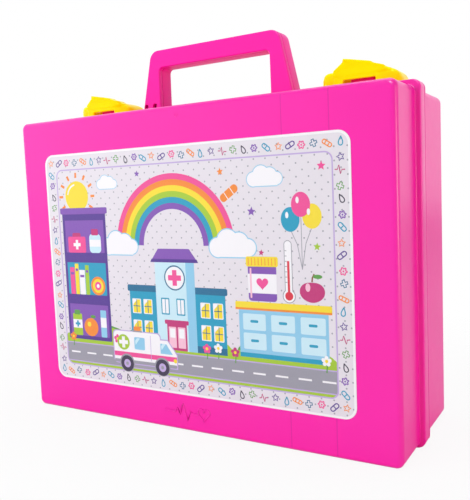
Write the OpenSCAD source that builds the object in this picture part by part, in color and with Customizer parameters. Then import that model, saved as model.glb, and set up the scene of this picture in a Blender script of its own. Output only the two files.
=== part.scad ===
// Toy doctor case: a carrying case of two moulded shells, hinged along the bottom, with a
// two-part handle and two snap latches on top. Millimetres, +Z up, the front face towards -Y.
// The origin is on the ground, under the middle of the case.

/* [Case] */
// Width of the two shells, without the rim
case_w = 296; // [250:1:340]
// Height of the two shells, without the rim
case_h = 224; // [190:1:260]
// Depth of the front shell, from its face to the seam
front_d = 47; // [38:0.5:60]
// Depth of the rear shell, from the seam to its back
rear_d = 61; // [50:0.5:80]
// Thickness of the moulded walls
wall = 2.2; // [1.8:0.1:2.6]
// Radius of the case's corners, seen from the front
corner_r = 5; // [5:0.5:10]
// Rounding along the edges of the front face and the back
edge_r = 3.5; // [3:0.1:3.7]
// Open joint between the two shells
seam_gap = 0.4; // [0.2:0.1:0.8]

/* [Rim] */
// How far the rim stands out at the top and the sides
rim_out = 3.5; // [2.5:0.1:4.5]
// Depth of the rim on the front shell
front_rim_d = 9.5; // [8:0.5:14]
// Depth of the rim on the rear shell
rear_rim_d = 3; // [2:0.1:3.5]
// How far the rear shell's lip reaches into the front shell
lip_reach = 3; // [2:0.1:4]
// Thickness of the lip
lip_t = 1.2; // [1:0.1:1.6]
// Room between the lip and the front shell's wall
lip_play = 0.3; // [0.2:0.05:0.5]
// Height of the stiffening ribs behind the front face
rib_h = 2.4; // [1.5:0.1:4]
// Thickness of the ribs
rib_t = 1.2; // [0.8:0.1:2]
// Distance of the inner pair of ribs from the middle
rib_x = 77; // [60:1:90]

/* [Hinge] */
// Height of the hinge axis above the ground
hinge_z = 4.2; // [4:0.1:5]
// Radius of the knuckles
knuckle_r = 3.6; // [3.2:0.1:3.8]
// Length of one knuckle
knuckle_l = 9; // [7:0.5:12]
// Gap between two knuckles
knuckle_gap = 0.4; // [0.3:0.1:0.8]
// Distance of each hinge from the middle of the case
hinge_x = 95; // [60:1:100]
// Diameter of the hinge pins
hinge_pin_d = 2.8; // [2:0.1:3]
// Running clearance round the pins, on the radius
pin_play = 0.06; // [0.03:0.01:0.09]
// How far the front shell opens, in degrees
lid_open = 105; // [90:1:110]

/* [Handle] */
// Height of the handle above the top of the shells
handle_h = 49.6; // [40:0.2:60]
// Width of the handle where it meets the shells
handle_base_w = 130; // [124:1:150]
// Width of the handle across its top corners
handle_top_w = 108; // [104:1:120]
// Thickness of the handle, front to back
handle_d = 16.4; // [13:0.2:18]
// Thickness of the handle's front half
handle_front_d = 4; // [3:0.2:5]
// Radius of the handle's top corners
handle_r = 7.5; // [6:0.5:12]
// Width of the opening for the fingers
grip_w = 94; // [86:1:96]
// Height of the bar over the opening
bar_h = 13; // [11:0.5:16]
// Radius of the opening's top corners
grip_r = 3.5; // [3:0.5:6]
// Diameter of the two pegs that hold the front half
peg_d = 3; // [2.4:0.1:3.4]

/* [Latches] */
// Distance of each latch from the middle of the case
latch_x = 108.5; // [105:0.5:112]
// Width of a latch
latch_w = 56; // [50:1:60]
// Height of a latch above the top of the shells
latch_h = 17; // [16:0.5:19]
// Distance from the seam to the latch's front plate
latch_set = 5; // [4.5:0.5:7]
// Distance from the latch's front plate to its pin
latch_arm = 17.5; // [16.5:0.5:20]
// Height of the latch's pin above the top of the shells
latch_pin_h = 5.5; // [5.4:0.1:6.2]
// Thickness of a latch's walls
latch_wall = 2; // [1.6:0.1:2.2]
// Width of the latch's raised front plate
latch_plate_w = 34.4; // [32:0.2:37]
// Diameter of the latch's pin
latch_pin_d = 3; // [2.4:0.1:3.4]
// Height of the finger tab above the latch
tab_h = 6.5; // [5:0.5:10]
// Width of the finger tab at its top
tab_w = 18; // [14:0.5:22]
// How much lower the tab's right end is than its left end
tab_fall = 3.5; // [0:0.5:4]
// How far the tab leans forward
tab_lean = 4; // [2:0.5:4.5]
// Width of the window in the front plate
window_w = 22; // [18:0.5:26]
// Height of the window
window_h = 3.5; // [3:0.5:6.5]
// Width of the tongue that reaches over the seam
tongue_w = 30; // [24:1:32]
// How far the tongue reaches in front of the seam
tongue_reach = 6; // [4:0.5:7]
// How far a latch lifts, in degrees
latch_open = 90; // [60:1:90]

/* [Label] */
// Width of the label on the front face
label_w = 245; // [200:1:248]
// Height of the label
label_h = 172; // [140:1:180]
// Height of the label's lower edge above the ground
label_z = 26; // [20:0.5:36]
// Distance of the label's middle from the middle of the case, to the right
label_x = -1.5; // [-10:0.5:10]
// Radius of the label's corners
label_r = 8; // [5:0.5:12]
// Thickness of the label
label_t = 0.25; // [0.15:0.05:0.4]

/* [Hidden] */
$fn = 64;

PINK = [0.97, 0.16, 0.66];
YELLOW = [0.98, 0.86, 0.05];
STEEL = [0.75, 0.76, 0.78];
PAPER = [0.93, 0.92, 0.97];

cut = 1;                 // how far a cutting shape runs past what it cuts
bond = 0.2;              // how far a rib or a web sinks into the wall that carries it
thin_gap = 0.3;          // room between a moving edge and the wall beside it

seam_y = front_d - (front_d + rear_d) / 2;
front_y = seam_y - front_d;
rear_y = seam_y + rear_d;
half_gap = seam_gap / 2;

// Hinge: the room below the axis lets the shells turn until their cut edges meet
stop_margin = 9;
channel_y = hinge_z * tan((lid_open + stop_margin) / 2);
channel_top = hinge_z + knuckle_r + 0.5;
rail_top = channel_top + wall;
rail_end = corner_r + 2;
lip_over = 11;
lip_z = rail_top + lip_over;   // height at which the lip starts
knuckles = 5;
web_low = 1.8;           // how far a knuckle's web reaches below the axis
web_back = 1;            // and how far it stays back from the seam
hinge_l = knuckles * knuckle_l + (knuckles - 1) * knuckle_gap;
pin_head_t = 1;
pin_head_over = 0.9;

// Handle
handle_y = seam_y + half_gap + 0.1;
handle_split = handle_y + handle_front_d;
handle_slant = (handle_base_w - handle_top_w) / 2 / handle_h;
corner_steps = 8;
peg_up = 8.5;
peg_outer = 4.4;         // the pegs' distances from the handle's outer side
peg_inner = 12.6;
peg_z = case_h + peg_up;
peg_x = [handle_base_w / 2 - peg_outer, handle_base_w / 2 - peg_inner];
peg_play = 0.15;
peg_sunk = 1.6;
foot_w = 12;
foot_x = (grip_w + handle_base_w) / 4 - 0.5;
foot_y = handle_split + 1;
foot_d = handle_d - handle_front_d - 3;
barb = 1.2;
barb_h = 2.4;

// Latches, measured from the seam and the top of the shells
latch_pin_y = latch_set + latch_arm;
barrel_r = latch_pin_h - 0.5;
plate_proud = 1;
latch_back = latch_pin_y + barrel_r;
latch_front_r = 8;
latch_back_r = 4;
latch_end_r = 10;
latch_top_r = 8;
latch_floor = 0.5;
tab_d = 7;
tab_base_w = 33;
tab_neck = 4.2;
tab_foot = 2;
tab_flare = 1;
tongue_gap = 1.1;
tongue_t = 1.8;
nib_d = 1.4;
nib_gap = 0.35;
window_under = 0.6;
lug_t = 3;
lug_x = 13.5;
lug_r = 4.2;
keeper_w = 16;
keeper_d = 5;
keeper_set = 4;
keeper_under = 3;
pin_short = 0.3;

// ---- Outlines and shared forms ----

// Stands an outline up in the XZ plane and gives it a depth from y0 to y1
module upright(y0, y1) {
    translate([0, y0, 0]) rotate([90, 0, 0]) mirror([0, 0, 1]) linear_extrude(y1 - y0) children();
}

// Lays an outline of (Y, Z) points across the case, from x0 to x1
module across(x0, x1) {
    translate([x0, 0, 0]) rotate([90, 0, 90]) linear_extrude(x1 - x0) children();
}

// A rounded rectangle, centred on X, with its lower edge at z0
module rounded(w, h, r, z0 = 0) {
    translate([-w / 2 + r, z0]) square([w - 2 * r, h]);
    translate([-w / 2, z0 + r]) square([w, h - 2 * r]);
    for (x = [-1, 1] * (w / 2 - r), z = [z0 + r, z0 + h - r])
        translate([x, z]) circle(r);
}

// Section through the edge of a box: the distance out to its side, and the depth from its face
module edge_section(r, f, d) {
    square([r - f, d]);
    translate([0, f]) square([r, d - f]);
    intersection() {
        translate([r - f, f]) circle(f);
        square([r, d]);
    }
}

// A box with round corners (r) and a round edge (f) about its face at y = 0
module soft_box(w, h, d, r, f, z0) {
    half_w = w / 2 - r;
    half_h = h / 2 - r;
    translate([0, 0, z0 + h / 2]) {
        translate([-half_w, 0, -half_h]) cube([2 * half_w, d, 2 * half_h]);
        for (sx = [0, 1]) mirror([sx, 0, 0])
            translate([half_w, 0, -half_h]) linear_extrude(2 * half_h) edge_section(r, f, d);
        for (sz = [0, 1]) mirror([0, 0, sz])
            translate([0, 0, half_h]) across(-half_w, half_w) mirror([1, -1]) edge_section(r, f, d);
        for (sx = [0, 1], sz = [0, 1]) mirror([sx, 0, 0]) mirror([0, 0, sz])
            translate([half_w, 0, -half_h]) rotate([-90, 0, 0])
                rotate_extrude(angle = 90) edge_section(r, f, d);
    }
}

// The outline of the inside of the shells, drawn in by inset
module inner(inset) {
    gap = wall + inset;
    rounded(case_w - 2 * gap, case_h - 2 * gap, corner_r - gap, gap);
}

module rim_outline() {
    rounded(case_w + 2 * rim_out, case_h + rim_out, corner_r);
}

// One hollow shell of depth d, with its face at y = 0 and its open side at y = d
module cup(d) {
    difference() {
        soft_box(case_w, case_h, d, corner_r, edge_r, 0);
        translate([0, wall, 0])
            soft_box(case_w - 2 * wall, case_h - 2 * wall, d, corner_r - wall, edge_r - wall, wall);
    }
}

// ---- Hinge, drawn about the seam with the shell on the side of -Y ----

// Block along the bottom that closes the shell above the hinge
module hinge_rail() {
    intersection() {
        translate([-case_w / 2, -channel_y - wall, 0])
            cube([case_w, channel_y + wall - half_gap, rail_top]);
        upright(-channel_y - wall - cut, cut) rounded(case_w, case_h, corner_r);
    }
}

// Room for the knuckles, and the slanted edges that let the shells turn
module hinge_room() {
    translate([-case_w / 2 + rail_end, -channel_y, -cut])
        cube([case_w - 2 * rail_end, channel_y + cut, channel_top + cut]);
    across(-case_w, case_w)
        polygon([[cut, hinge_z], [0, hinge_z], [-channel_y, 0], [-channel_y, -cut], [cut, -cut]]);
}

function knuckle_start(x, i) = x - hinge_l / 2 + i * (knuckle_l + knuckle_gap);

// The knuckles numbered in list, on both hinges, with their webs
module hinge_knuckles(list) {
    for (x = [-hinge_x, hinge_x], i = list) {
        start = knuckle_start(x, i);
        translate([start, 0, hinge_z]) rotate([0, 90, 0]) cylinder(h = knuckle_l, r = knuckle_r);
        translate([start, -channel_y - bond, hinge_z - web_low])
            cube([knuckle_l, channel_y + bond - web_back, channel_top + bond - hinge_z + web_low]);
    }
}

module hinge_bores() {
    for (x = [-hinge_x, hinge_x])
        translate([x, 0, hinge_z]) rotate([0, 90, 0])
            cylinder(h = hinge_l + 2 * cut, r = hinge_pin_d / 2 + pin_play, center = true);
}

module hinge_pin(x) {
    translate([x - hinge_l / 2, seam_y, hinge_z]) rotate([0, 90, 0])
        cylinder(h = hinge_l, r = hinge_pin_d / 2);
    translate([x - hinge_l / 2 - thin_gap - pin_head_t, seam_y, hinge_z]) rotate([0, 90, 0])
        cylinder(h = pin_head_t, r = hinge_pin_d / 2 + pin_head_over);
    translate([x - hinge_l / 2 - thin_gap - bond, seam_y, hinge_z]) rotate([0, 90, 0])
        cylinder(h = 2 * bond + thin_gap, r = hinge_pin_d / 2);
}

// ---- Shells ----

module front_shell() {
    color(PINK) difference() {
        union() {
            translate([0, front_y, 0]) {
                cup(front_d - half_gap);
                upright(front_d - front_rim_d, front_d - half_gap) difference() {
                    rim_outline();
                    inner(-bond);
                }
            }
            for (x = [-latch_x, -rib_x, rib_x, latch_x])
                translate([x - rib_t / 2, front_y + wall - bond, wall + corner_r])
                    cube([rib_t, rib_h + bond, case_h - 2 * (wall + corner_r)]);
            translate([0, seam_y, 0]) hinge_rail();
        }
        translate([0, seam_y, 0]) hinge_room();
    }
    color(PINK) translate([0, seam_y, 0]) difference() {
        hinge_knuckles([0, 2, 4]);
        hinge_bores();
    }
}

// Lip inside the rear shell that guides the front shell as it closes
module lip() {
    difference() {
        union() {
            upright(-lip_reach, half_gap + rear_rim_d) difference() {
                inner(lip_play);
                inner(lip_play + lip_t);
            }
            upright(half_gap, half_gap + rear_rim_d) difference() {
                inner(-bond);
                inner(lip_play + lip_t);
            }
        }
        translate([-case_w / 2, -lip_reach - cut, -cut])
            cube([case_w, lip_reach + rear_rim_d + 2 * cut, lip_z + cut]);
    }
}

// Lugs for a latch's pin, and the block that the closed latch snaps onto
module latch_seat() {
    pin_z = case_h + latch_pin_h;
    keeper_y = latch_set + plate_proud + latch_wall + keeper_set;
    for (x = [-lug_x, lug_x])
        across(x - lug_t / 2, x + lug_t / 2) {
            translate([latch_pin_y, pin_z]) circle(lug_r);
            translate([latch_pin_y - lug_r, case_h - bond]) square([2 * lug_r, latch_pin_h + bond]);
        }
    translate([-keeper_w / 2, keeper_y, case_h - bond])
        cube([keeper_w, keeper_d, latch_h - latch_wall - keeper_under + bond]);
}

module rear_shell() {
    leg_out = handle_base_w / 2 + thin_gap;
    leg_in = grip_w / 2 - thin_gap;
    color(PINK) difference() {
        union() {
            translate([0, rear_y, 0]) mirror([0, 1, 0]) cup(rear_d - half_gap);
            translate([0, seam_y, 0]) {
                upright(half_gap, half_gap + rear_rim_d) difference() {
                    rim_outline();
                    inner(-bond);
                }
                lip();
                mirror([0, 1, 0]) hinge_rail();
                for (x = [-latch_x, latch_x])
                    translate([x, 0, 0]) latch_seat();
            }
        }
        translate([0, seam_y, 0]) {
            mirror([0, 1, 0]) hinge_room();
            for (x = [-latch_x, latch_x])
                translate([x, latch_pin_y, case_h + latch_pin_h]) rotate([0, 90, 0])
                    cylinder(h = latch_w, r = latch_pin_d / 2 + pin_play, center = true);
        }
        for (side = [-1, 1]) {
            mid = side * (leg_in + leg_out) / 2;
            translate([mid - (leg_out - leg_in) / 2, seam_y - cut, case_h])
                cube([leg_out - leg_in, rear_rim_d + half_gap + 2 * cut, rim_out + cut]);
            translate([side * foot_x - foot_w / 2 - thin_gap, foot_y - thin_gap, case_h - wall - 2 * cut])
                cube([foot_w + 2 * thin_gap, foot_d + 2 * thin_gap, wall + 3 * cut]);
        }
    }
    color(PINK) translate([0, seam_y, 0]) difference() {
        mirror([0, 1, 0]) hinge_knuckles([1, 3]);
        hinge_bores();
    }
}

// ---- Handle ----

// Slanted sides and round top corners, drawn in by inset; base is the lower edge
module handle_outline(inset, base) {
    s = handle_slant;
    slope = sqrt(1 + s * s);
    r = handle_r - inset;
    cz = case_h + handle_h - inset - r;
    half_base = handle_base_w / 2 - inset * slope - s * (base - case_h);
    cx = half_base - s * (cz - base) - r * slope;
    turn = (90 - atan(s)) / corner_steps;
    corner = [for (i = [0:corner_steps]) [cx + r * sin(i * turn), cz + r * cos(i * turn)]];
    polygon(concat([[half_base, base]], [for (i = [corner_steps:-1:0]) corner[i]],
                   [for (p = corner) [-p[0], p[1]]], [[-half_base, base]]));
}

// The opening for the fingers, made larger all round by grow
module grip_opening(grow) {
    half = grip_w / 2 + grow;
    r = grip_r + grow;
    top = case_h + handle_h - bar_h + grow;
    translate([-half, case_h - cut]) square([2 * half, top - r - case_h + cut]);
    translate([-half + r, case_h]) square([2 * (half - r), top - case_h]);
    for (x = [-1, 1] * (half - r)) translate([x, top - r]) circle(r);
}

module handle_front() {
    color(PINK) difference() {
        upright(handle_y, handle_split) difference() {
            handle_outline(0, case_h);
            grip_opening(0);
        }
        for (x = peg_x)
            translate([-x, handle_y - cut, peg_z]) rotate([-90, 0, 0])
                cylinder(h = handle_front_d + 2 * cut, r = peg_d / 2 + peg_play);
    }
}

module handle_back() {
    back = handle_y + handle_d;
    color(PINK) {
        difference() {
            upright(handle_split, back) difference() {
                handle_outline(0, case_h);
                grip_opening(0);
            }
            upright(handle_split - cut, back - wall) difference() {
                handle_outline(wall, case_h + wall);
                grip_opening(wall);
            }
        }
        for (x = peg_x)
            translate([-x, handle_y + peg_sunk, peg_z]) rotate([-90, 0, 0])
                cylinder(h = handle_d - wall - peg_sunk + bond, r = peg_d / 2);
        for (side = [-1, 1]) translate([side * foot_x, 0, 0]) {
            translate([-foot_w / 2, foot_y, case_h - wall - thin_gap - barb_h])
                cube([foot_w, foot_d, wall + thin_gap + barb_h + bond]);
            translate([-foot_w / 2 - barb, foot_y, case_h - wall - thin_gap - barb_h])
                cube([foot_w + 2 * barb, foot_d, barb_h]);
        }
    }
}

// ---- Latches, drawn about the seam and the top of the shells ----

// The latch's form from the side, drawn in by inset
module latch_side(front, inset) {
    top = latch_h - inset;
    back = latch_back - inset;
    r = latch_top_r - inset;
    translate([front, latch_floor]) square([latch_pin_y - front, top - r - latch_floor]);
    translate([front, latch_floor]) square([back - r - front, top - latch_floor]);
    translate([latch_pin_y - cut, latch_pin_h]) square([back - latch_pin_y + cut, top - r - latch_pin_h]);
    translate([back - r, top - r]) circle(r);
    translate([latch_pin_y, latch_pin_h]) circle(barrel_r - inset);
}

// The latch's form from above
module latch_plan(inset) {
    half = latch_w / 2 - inset;
    front = latch_set + plate_proud + inset;
    back = latch_back - inset;
    fr = latch_front_r - inset;
    br = latch_back_r - inset;
    translate([-half + fr, front]) square([2 * (half - fr), fr]);
    translate([-half, front + fr]) square([2 * half, back - br - front - fr]);
    translate([-half + br, back - br - cut]) square([2 * (half - br), br + cut]);
    for (x = [-1, 1]) {
        translate([x * (half - fr), front + fr]) circle(fr);
        translate([x * (half - br), back - br]) circle(br);
    }
}

// The latch's form from the front
module latch_elevation(inset) {
    half = latch_w / 2 - inset;
    top = latch_h - inset;
    r = latch_end_r - inset;
    translate([-half, 0]) square([2 * half, top - r]);
    translate([-half + r, 0]) square([2 * (half - r), top]);
    for (x = [-1, 1] * (half - r)) translate([x, top - r]) circle(r);
}

module latch_block(inset) {
    intersection() {
        across(-latch_w, latch_w) latch_side(latch_set + plate_proud + inset, inset);
        linear_extrude(latch_h + cut) latch_plan(inset);
        upright(0, latch_back + cut) latch_elevation(inset);
    }
}

// Finger tab: it leans forward over the front plate
module latch_tab() {
    tab_top = latch_h + tab_h;
    share = 1 - tab_fall / tab_h;   // how much of its height the tab keeps at its right end
    sink = latch_wall / 2;
    intersection() {
        across(-tab_base_w / 2, tab_base_w / 2)
            polygon([[latch_set, latch_h - sink], [latch_set - tab_lean, tab_top],
                     [latch_set - tab_lean + tab_d, tab_top],
                     [latch_set + tab_d + tab_foot, latch_h - sink]]);
        upright(latch_set - tab_lean - cut, latch_set + 2 * tab_d)
            polygon([[-tab_base_w / 2, latch_h - sink], [-tab_base_w / 2, latch_h],
                     [-tab_w / 2 - tab_flare, latch_h + tab_neck], [-tab_w / 2, tab_top],
                     [tab_w / 2, latch_h + share * tab_h],
                     [tab_w / 2 + tab_flare, latch_h + share * tab_neck],
                     [tab_base_w / 2, latch_h], [tab_base_w / 2, latch_h - sink]]);
    }
}

// Tongue that reaches over the rims, with the nib that drops in front of the seam
module latch_tongue() {
    bottom = rim_out + tongue_gap;
    translate([-tongue_w / 2, -tongue_reach, bottom])
        cube([tongue_w, tongue_reach + latch_set + latch_wall, tongue_t]);
    translate([-tongue_w / 2, -tongue_reach, rim_out + nib_gap])
        cube([tongue_w, nib_d, bottom - rim_out]);
}

module latch(x) {
    window_z = rim_out + tongue_gap + tongue_t + window_under;
    color(YELLOW) translate([x, seam_y, case_h]) {
        difference() {
            union() {
                latch_block(0);
                translate([-latch_plate_w / 2, latch_set, latch_floor])
                    cube([latch_plate_w, plate_proud + latch_wall, latch_h - latch_floor]);
                latch_tab();
            }
            latch_block(latch_wall);
            translate([-latch_w / 2 + latch_wall, latch_set + plate_proud + latch_wall, -cut])
                cube([latch_w - 2 * latch_wall, latch_back, latch_pin_h + cut]);
            translate([-latch_w / 2 + latch_wall, latch_pin_y - barrel_r, -cut])
                cube([latch_w - 2 * latch_wall, 3 * barrel_r, latch_pin_h + barrel_r + cut]);
            translate([-window_w / 2, latch_set - cut, window_z])
                cube([window_w, plate_proud + latch_wall + 2 * cut, window_h]);
            translate([0, latch_pin_y, latch_pin_h]) rotate([0, 90, 0])
                cylinder(h = latch_w + cut, r = latch_pin_d / 2 + pin_play, center = true);
        }
        latch_tongue();
    }
}

module latch_pin(x) {
    color(STEEL) translate([x, seam_y + latch_pin_y, case_h + latch_pin_h]) rotate([0, 90, 0])
        cylinder(h = latch_w - 2 * pin_short, r = latch_pin_d / 2, center = true);
}

// ---- The pieces ----

module latch_left() { latch(-latch_x); }
module latch_right() { latch(latch_x); }
module latch_pin_left() { latch_pin(-latch_x); }
module latch_pin_right() { latch_pin(latch_x); }
module hinge_pin_left() { color(STEEL) hinge_pin(-hinge_x); }
module hinge_pin_right() { color(STEEL) hinge_pin(hinge_x); }

module label() {
    color(PAPER) translate([label_x, 0, 0])
        upright(front_y - label_t, front_y) rounded(label_w, label_h, label_r, label_z);
}

front_shell();
rear_shell();
handle_back();
handle_front();
latch_left();
latch_right();
latch_pin_left();
latch_pin_right();
hinge_pin_left();
hinge_pin_right();
label();
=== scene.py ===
"""Toy doctor case: the dressed model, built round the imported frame.

Lengths in this file are in millimetres and are written to the meshes in metres.
+X is to the right as seen from the front, +Y to the back, +Z up.
"""
import math

import bmesh
import bpy
import numpy as np
from bpy.props import FloatProperty, FloatVectorProperty, PointerProperty
from bpy.types import Operator, Panel, PropertyGroup
from mathutils import Matrix, Vector


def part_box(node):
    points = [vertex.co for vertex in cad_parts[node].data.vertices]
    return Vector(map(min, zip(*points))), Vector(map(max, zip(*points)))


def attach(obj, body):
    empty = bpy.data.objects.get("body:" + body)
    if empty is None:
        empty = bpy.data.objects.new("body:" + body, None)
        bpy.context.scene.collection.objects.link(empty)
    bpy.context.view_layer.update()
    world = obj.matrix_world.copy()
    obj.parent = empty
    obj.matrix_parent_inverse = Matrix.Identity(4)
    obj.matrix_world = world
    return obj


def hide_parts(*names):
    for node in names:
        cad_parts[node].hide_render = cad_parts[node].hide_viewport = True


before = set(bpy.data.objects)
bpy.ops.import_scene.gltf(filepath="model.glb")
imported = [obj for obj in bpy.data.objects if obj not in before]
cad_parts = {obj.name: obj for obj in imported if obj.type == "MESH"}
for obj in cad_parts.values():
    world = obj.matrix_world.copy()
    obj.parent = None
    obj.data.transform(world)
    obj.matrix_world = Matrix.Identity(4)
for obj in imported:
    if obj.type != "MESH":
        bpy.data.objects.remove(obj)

bl_info = {
    "name": "Toy doctor case",
    "version": (1, 0, 0),
    "blender": (4, 5, 0),
    "location": "View3D > Sidebar > Case",
    "description": "Builds a toy doctor case with its handle, latches and printed label",
    "category": "Object",
}

MM = 0.001


def corners(node):
    """Lowest and highest corner of a CAD node, in millimetres."""
    low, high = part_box(node)
    return np.array(low) / MM, np.array(high) / MM


FRONT_LOW, FRONT_HIGH = corners("front_shell")
LABEL_LOW, LABEL_HIGH = corners("label")

# The case, as the solids have it
WALL = 2.2
CORNER_R = 5.0
RIM_OUT = 3.5
HALF_W = FRONT_HIGH[0] - RIM_OUT
TOP = FRONT_HIGH[2] - RIM_OUT
FRONT_Y = FRONT_LOW[1]
BACK_Y = corners("rear_shell")[1][1]
SEAM_Y = -7.0
HALF_GAP = 0.2
FRONT_RIM_D = 9.5
REAR_RIM_D = 3.0
PLAY = 0.3                     # room between pieces that slide or press together
BOND = 0.2                     # how far a piece that stands on a wall sinks into it

# How the shells' section is drawn
RIM_ROOT = 0.7                 # radius of the hollow where the rim leaves the wall
RIM_LIP = 0.9                  # rounding of the rim's outer edge
THIN_RIM_LIP = 0.28            # and at most this share of the rim's depth
SEAM_SOFT = 0.35               # rounding of the edges that meet at the seam
FLAT = 0.8                     # flat stretch that is kept beside a rounding
FACE_INSET = 5.5               # where a face's flat middle starts
FLOOR_INSET = 2.0              # and where it starts on the inside, from the wall
STEP = 0.05                    # half width of a step cut into a shell
LEAST_R = 0.02                 # smallest radius that a corner shrinks to
CRISP = 32.0                   # edges sharper than this angle are kept crisp

# The hinge in the bottom edges
AXIS_Z = 4.2
CHANNEL_D = 6.47
CHANNEL_TOP = 8.3
RAIL_TOP = 10.5
RAIL_D = CHANNEL_D + WALL
CHANNEL_HALF_W = HALF_W - CORNER_R - 2
HINGES_X = (-95.0, 95.0)
KNUCKLES = 5
KNUCKLE_R = 3.6
KNUCKLE_L = 9.0
KNUCKLE_GAP = 0.4
KNUCKLE_CHAMFER = 0.35
BORE_R = 1.46
WEB_BACK = 1.6                 # how far a knuckle's web stays back from the seam
WEB_LOW = 1.7                  # and how far it reaches below the axis

# Inside the shells
RIBS_X = (-108.5, -77.0, 77.0, 108.5)
RIB_HALF_T = 0.6
RIB_H = 2.4
RIB_SINK = 0.3
LIP_REACH = 3.0
LIP_T = 1.2
LIP_START = 21.3
LIP_EDGE = 0.25

# The marks on the front face
EMBOSS = (-2.5, 13.5)          # middle of the relief under the label
EMBOSS_H = 0.45
GATE = (0.0, 217.0)            # where the plastic was let into the mould
GATE_H = 0.2
WITNESS_X = (77.3, 108.0)      # faint upright lines

# The handle
HANDLE_HIGH = corners("handle_front")[1]
HANDLE_BASE = 65.0
HANDLE_TOP = 54.0
GRIP_HALF = 47.0
BAR = 13.0
HANDLE_FRONT_D = 4.0
HANDLE_D = 16.4
HANDLE_ROUNDS = (7.5, 3.5)     # radii of the outer and the inner corners
HALF_GROOVE = 0.15             # half width of the groove between the halves
GROOVE_EDGE = 0.6
PEGS = ((-60.6, 232.5), (-52.4, 232.5))
PEG_R = 1.5
PEG_HOLE_R = 2.1
PEG_FLOOR = 0.4                # what is left of the front half behind a peg hole
PEG_SUNK = 3.0                 # from the handle's front to the end of a peg
BACK_SOFTER = 2.4              # the back edge's rounding, as a multiple of the front's
FOOT_X = 55.5
FOOT_HALF_W = 6.0
BARB = 1.2
BARB_H = 2.4

# The latches, measured from the seam and the top of the shells
LATCHES_X = (-108.5, 108.5)
LATCH_FRONT = 6.0
LATCH_BACK = 27.5
LATCH_HIGH = 17.0
LATCH_HALF_W = 28.0
LATCH_WALL = 2.0
LATCH_PIN = (22.5, 5.5)
LATCH_BORE_R = 1.56
BARREL_R = 5.0
TAB_HIGH = 23.5
LATCH_CRISP = 50.0             # as CRISP, on the worked-out surface of a latch
LUG_X = 13.5
LUG_HALF_T = 1.5
LUG_R = 4.2
KEEPER_Y = (12.0, 17.0)
KEEPER_HALF_W = 8.0
KEEPER_H = 12.0

# The label
LABEL_R = 8.0
PRINT_DEPTH = (0.02, 0.125)    # the print lies between these depths behind the label's front
PAPER_DEPTH = 0.13
PAPER_EDGE = 0.04
DOT_PITCH = 5.8
DOT_R = 0.095                  # a dot's radius as a share of the pitch


# ---- Meshes ----

def make_piece(name, points, faces, body, slot_name, material, sharp=CRISP, merge=1e-3):
    """Puts points (mm) and faces into one mesh, joins doubles, turns the faces outwards and
    shades it smooth, with edges sharper than the given angle kept crisp. The piece rides on the
    body and gets the material. slot_name is not used."""
    mesh = bpy.data.meshes.new(name)
    mesh.from_pydata((np.asarray(points, float) * MM).tolist(), [], faces)
    bm = bmesh.new()
    bm.from_mesh(mesh)
    if merge:
        bmesh.ops.remove_doubles(bm, verts=bm.verts, dist=merge * MM)
        bmesh.ops.dissolve_degenerate(bm, edges=bm.edges, dist=merge * MM)
    bmesh.ops.recalc_face_normals(bm, faces=bm.faces)
    bm.to_mesh(mesh)
    bm.free()
    mesh.shade_smooth()
    mesh.set_sharp_from_angle(angle=math.radians(sharp))
    mesh.materials.append(material)
    piece = bpy.data.objects.new(name, mesh)
    bpy.context.scene.collection.objects.link(piece)
    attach(piece, body)
    return piece


class Parts:
    """Several closed surfaces that are gathered into one mesh."""

    def __init__(self):
        self.points, self.faces, self.count = [], [], 0

    def add(self, points, faces):
        """Takes in one surface, its faces counted on from the points already there."""
        points = np.asarray(points, float).reshape(-1, 3)
        self.points.append(points)
        self.faces += [[i + self.count for i in face] for face in faces]
        self.count += len(points)

    def all(self):
        """All points in one array, and all faces."""
        return np.vstack(self.points), self.faces


def grid_faces(rows, columns, around=True):
    """Quads between the rows of a grid; around joins the last column to the first."""
    r = np.arange(rows - 1)[:, None]
    c = np.arange(columns if around else columns - 1)[None, :]
    after = (c + 1) % columns
    quads = np.stack([r * columns + c, r * columns + after,
                      (r + 1) * columns + after, (r + 1) * columns + c], axis=-1)
    return quads.reshape(-1, 4).tolist()


def skin(loops):
    """A closed surface through a stack of closed loops, with a flat cap at each end."""
    loops = np.asarray(loops, float)
    rows, columns = loops.shape[:2]
    faces = grid_faces(rows, columns)
    faces.append(list(range(columns))[::-1])
    faces.append(list(range((rows - 1) * columns, rows * columns)))
    return loops.reshape(-1, 3), faces


def quarter(n=8):
    """Sine and 1 - cosine of n + 1 even steps through a quarter turn: the form of a round edge."""
    turn = np.linspace(0, math.pi / 2, n + 1)
    return np.sin(turn), 1 - np.cos(turn)


def rounded_outline(half_w, low, high, r, low_marks=(), high_marks=(), n=12):
    """Round-cornered rectangle as (x, z), anticlockwise from its lower side: the straight sides
    have points a millimetre from their ends and at the marks, the corners are quarter circles."""
    turn = np.linspace(0, math.pi / 2, n + 1)
    s, c = np.sin(turn), np.cos(turn)
    x, z0, z1 = half_w - r, low + r, high - r
    near = min(1.0, x / 4, (z1 - z0) / 4)
    lower = np.array(sorted((near - x, x - near) + tuple(low_marks)))
    upper = np.array(sorted((near - x, x - near) + tuple(high_marks)))[::-1]
    pieces = [
        np.column_stack([lower, np.full(len(lower), low)]),
        np.column_stack([x + r * s, z0 - r * c]),
        [[half_w, z0 + near], [half_w, z1 - near]],
        np.column_stack([x + r * c, z1 + r * s]),
        np.column_stack([upper, np.full(len(upper), high)]),
        np.column_stack([-x - r * s, z1 + r * c]),
        [[-half_w, z1 - near], [-half_w, z0 + near]],
        np.column_stack([-x - r * c, z0 - r * s]),
    ]
    return np.vstack(pieces)


def upright(outline, y):
    """An outline of (x, z) as points at depth y."""
    return np.column_stack([outline[:, 0], np.full(len(outline), y), outline[:, 1]])


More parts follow.
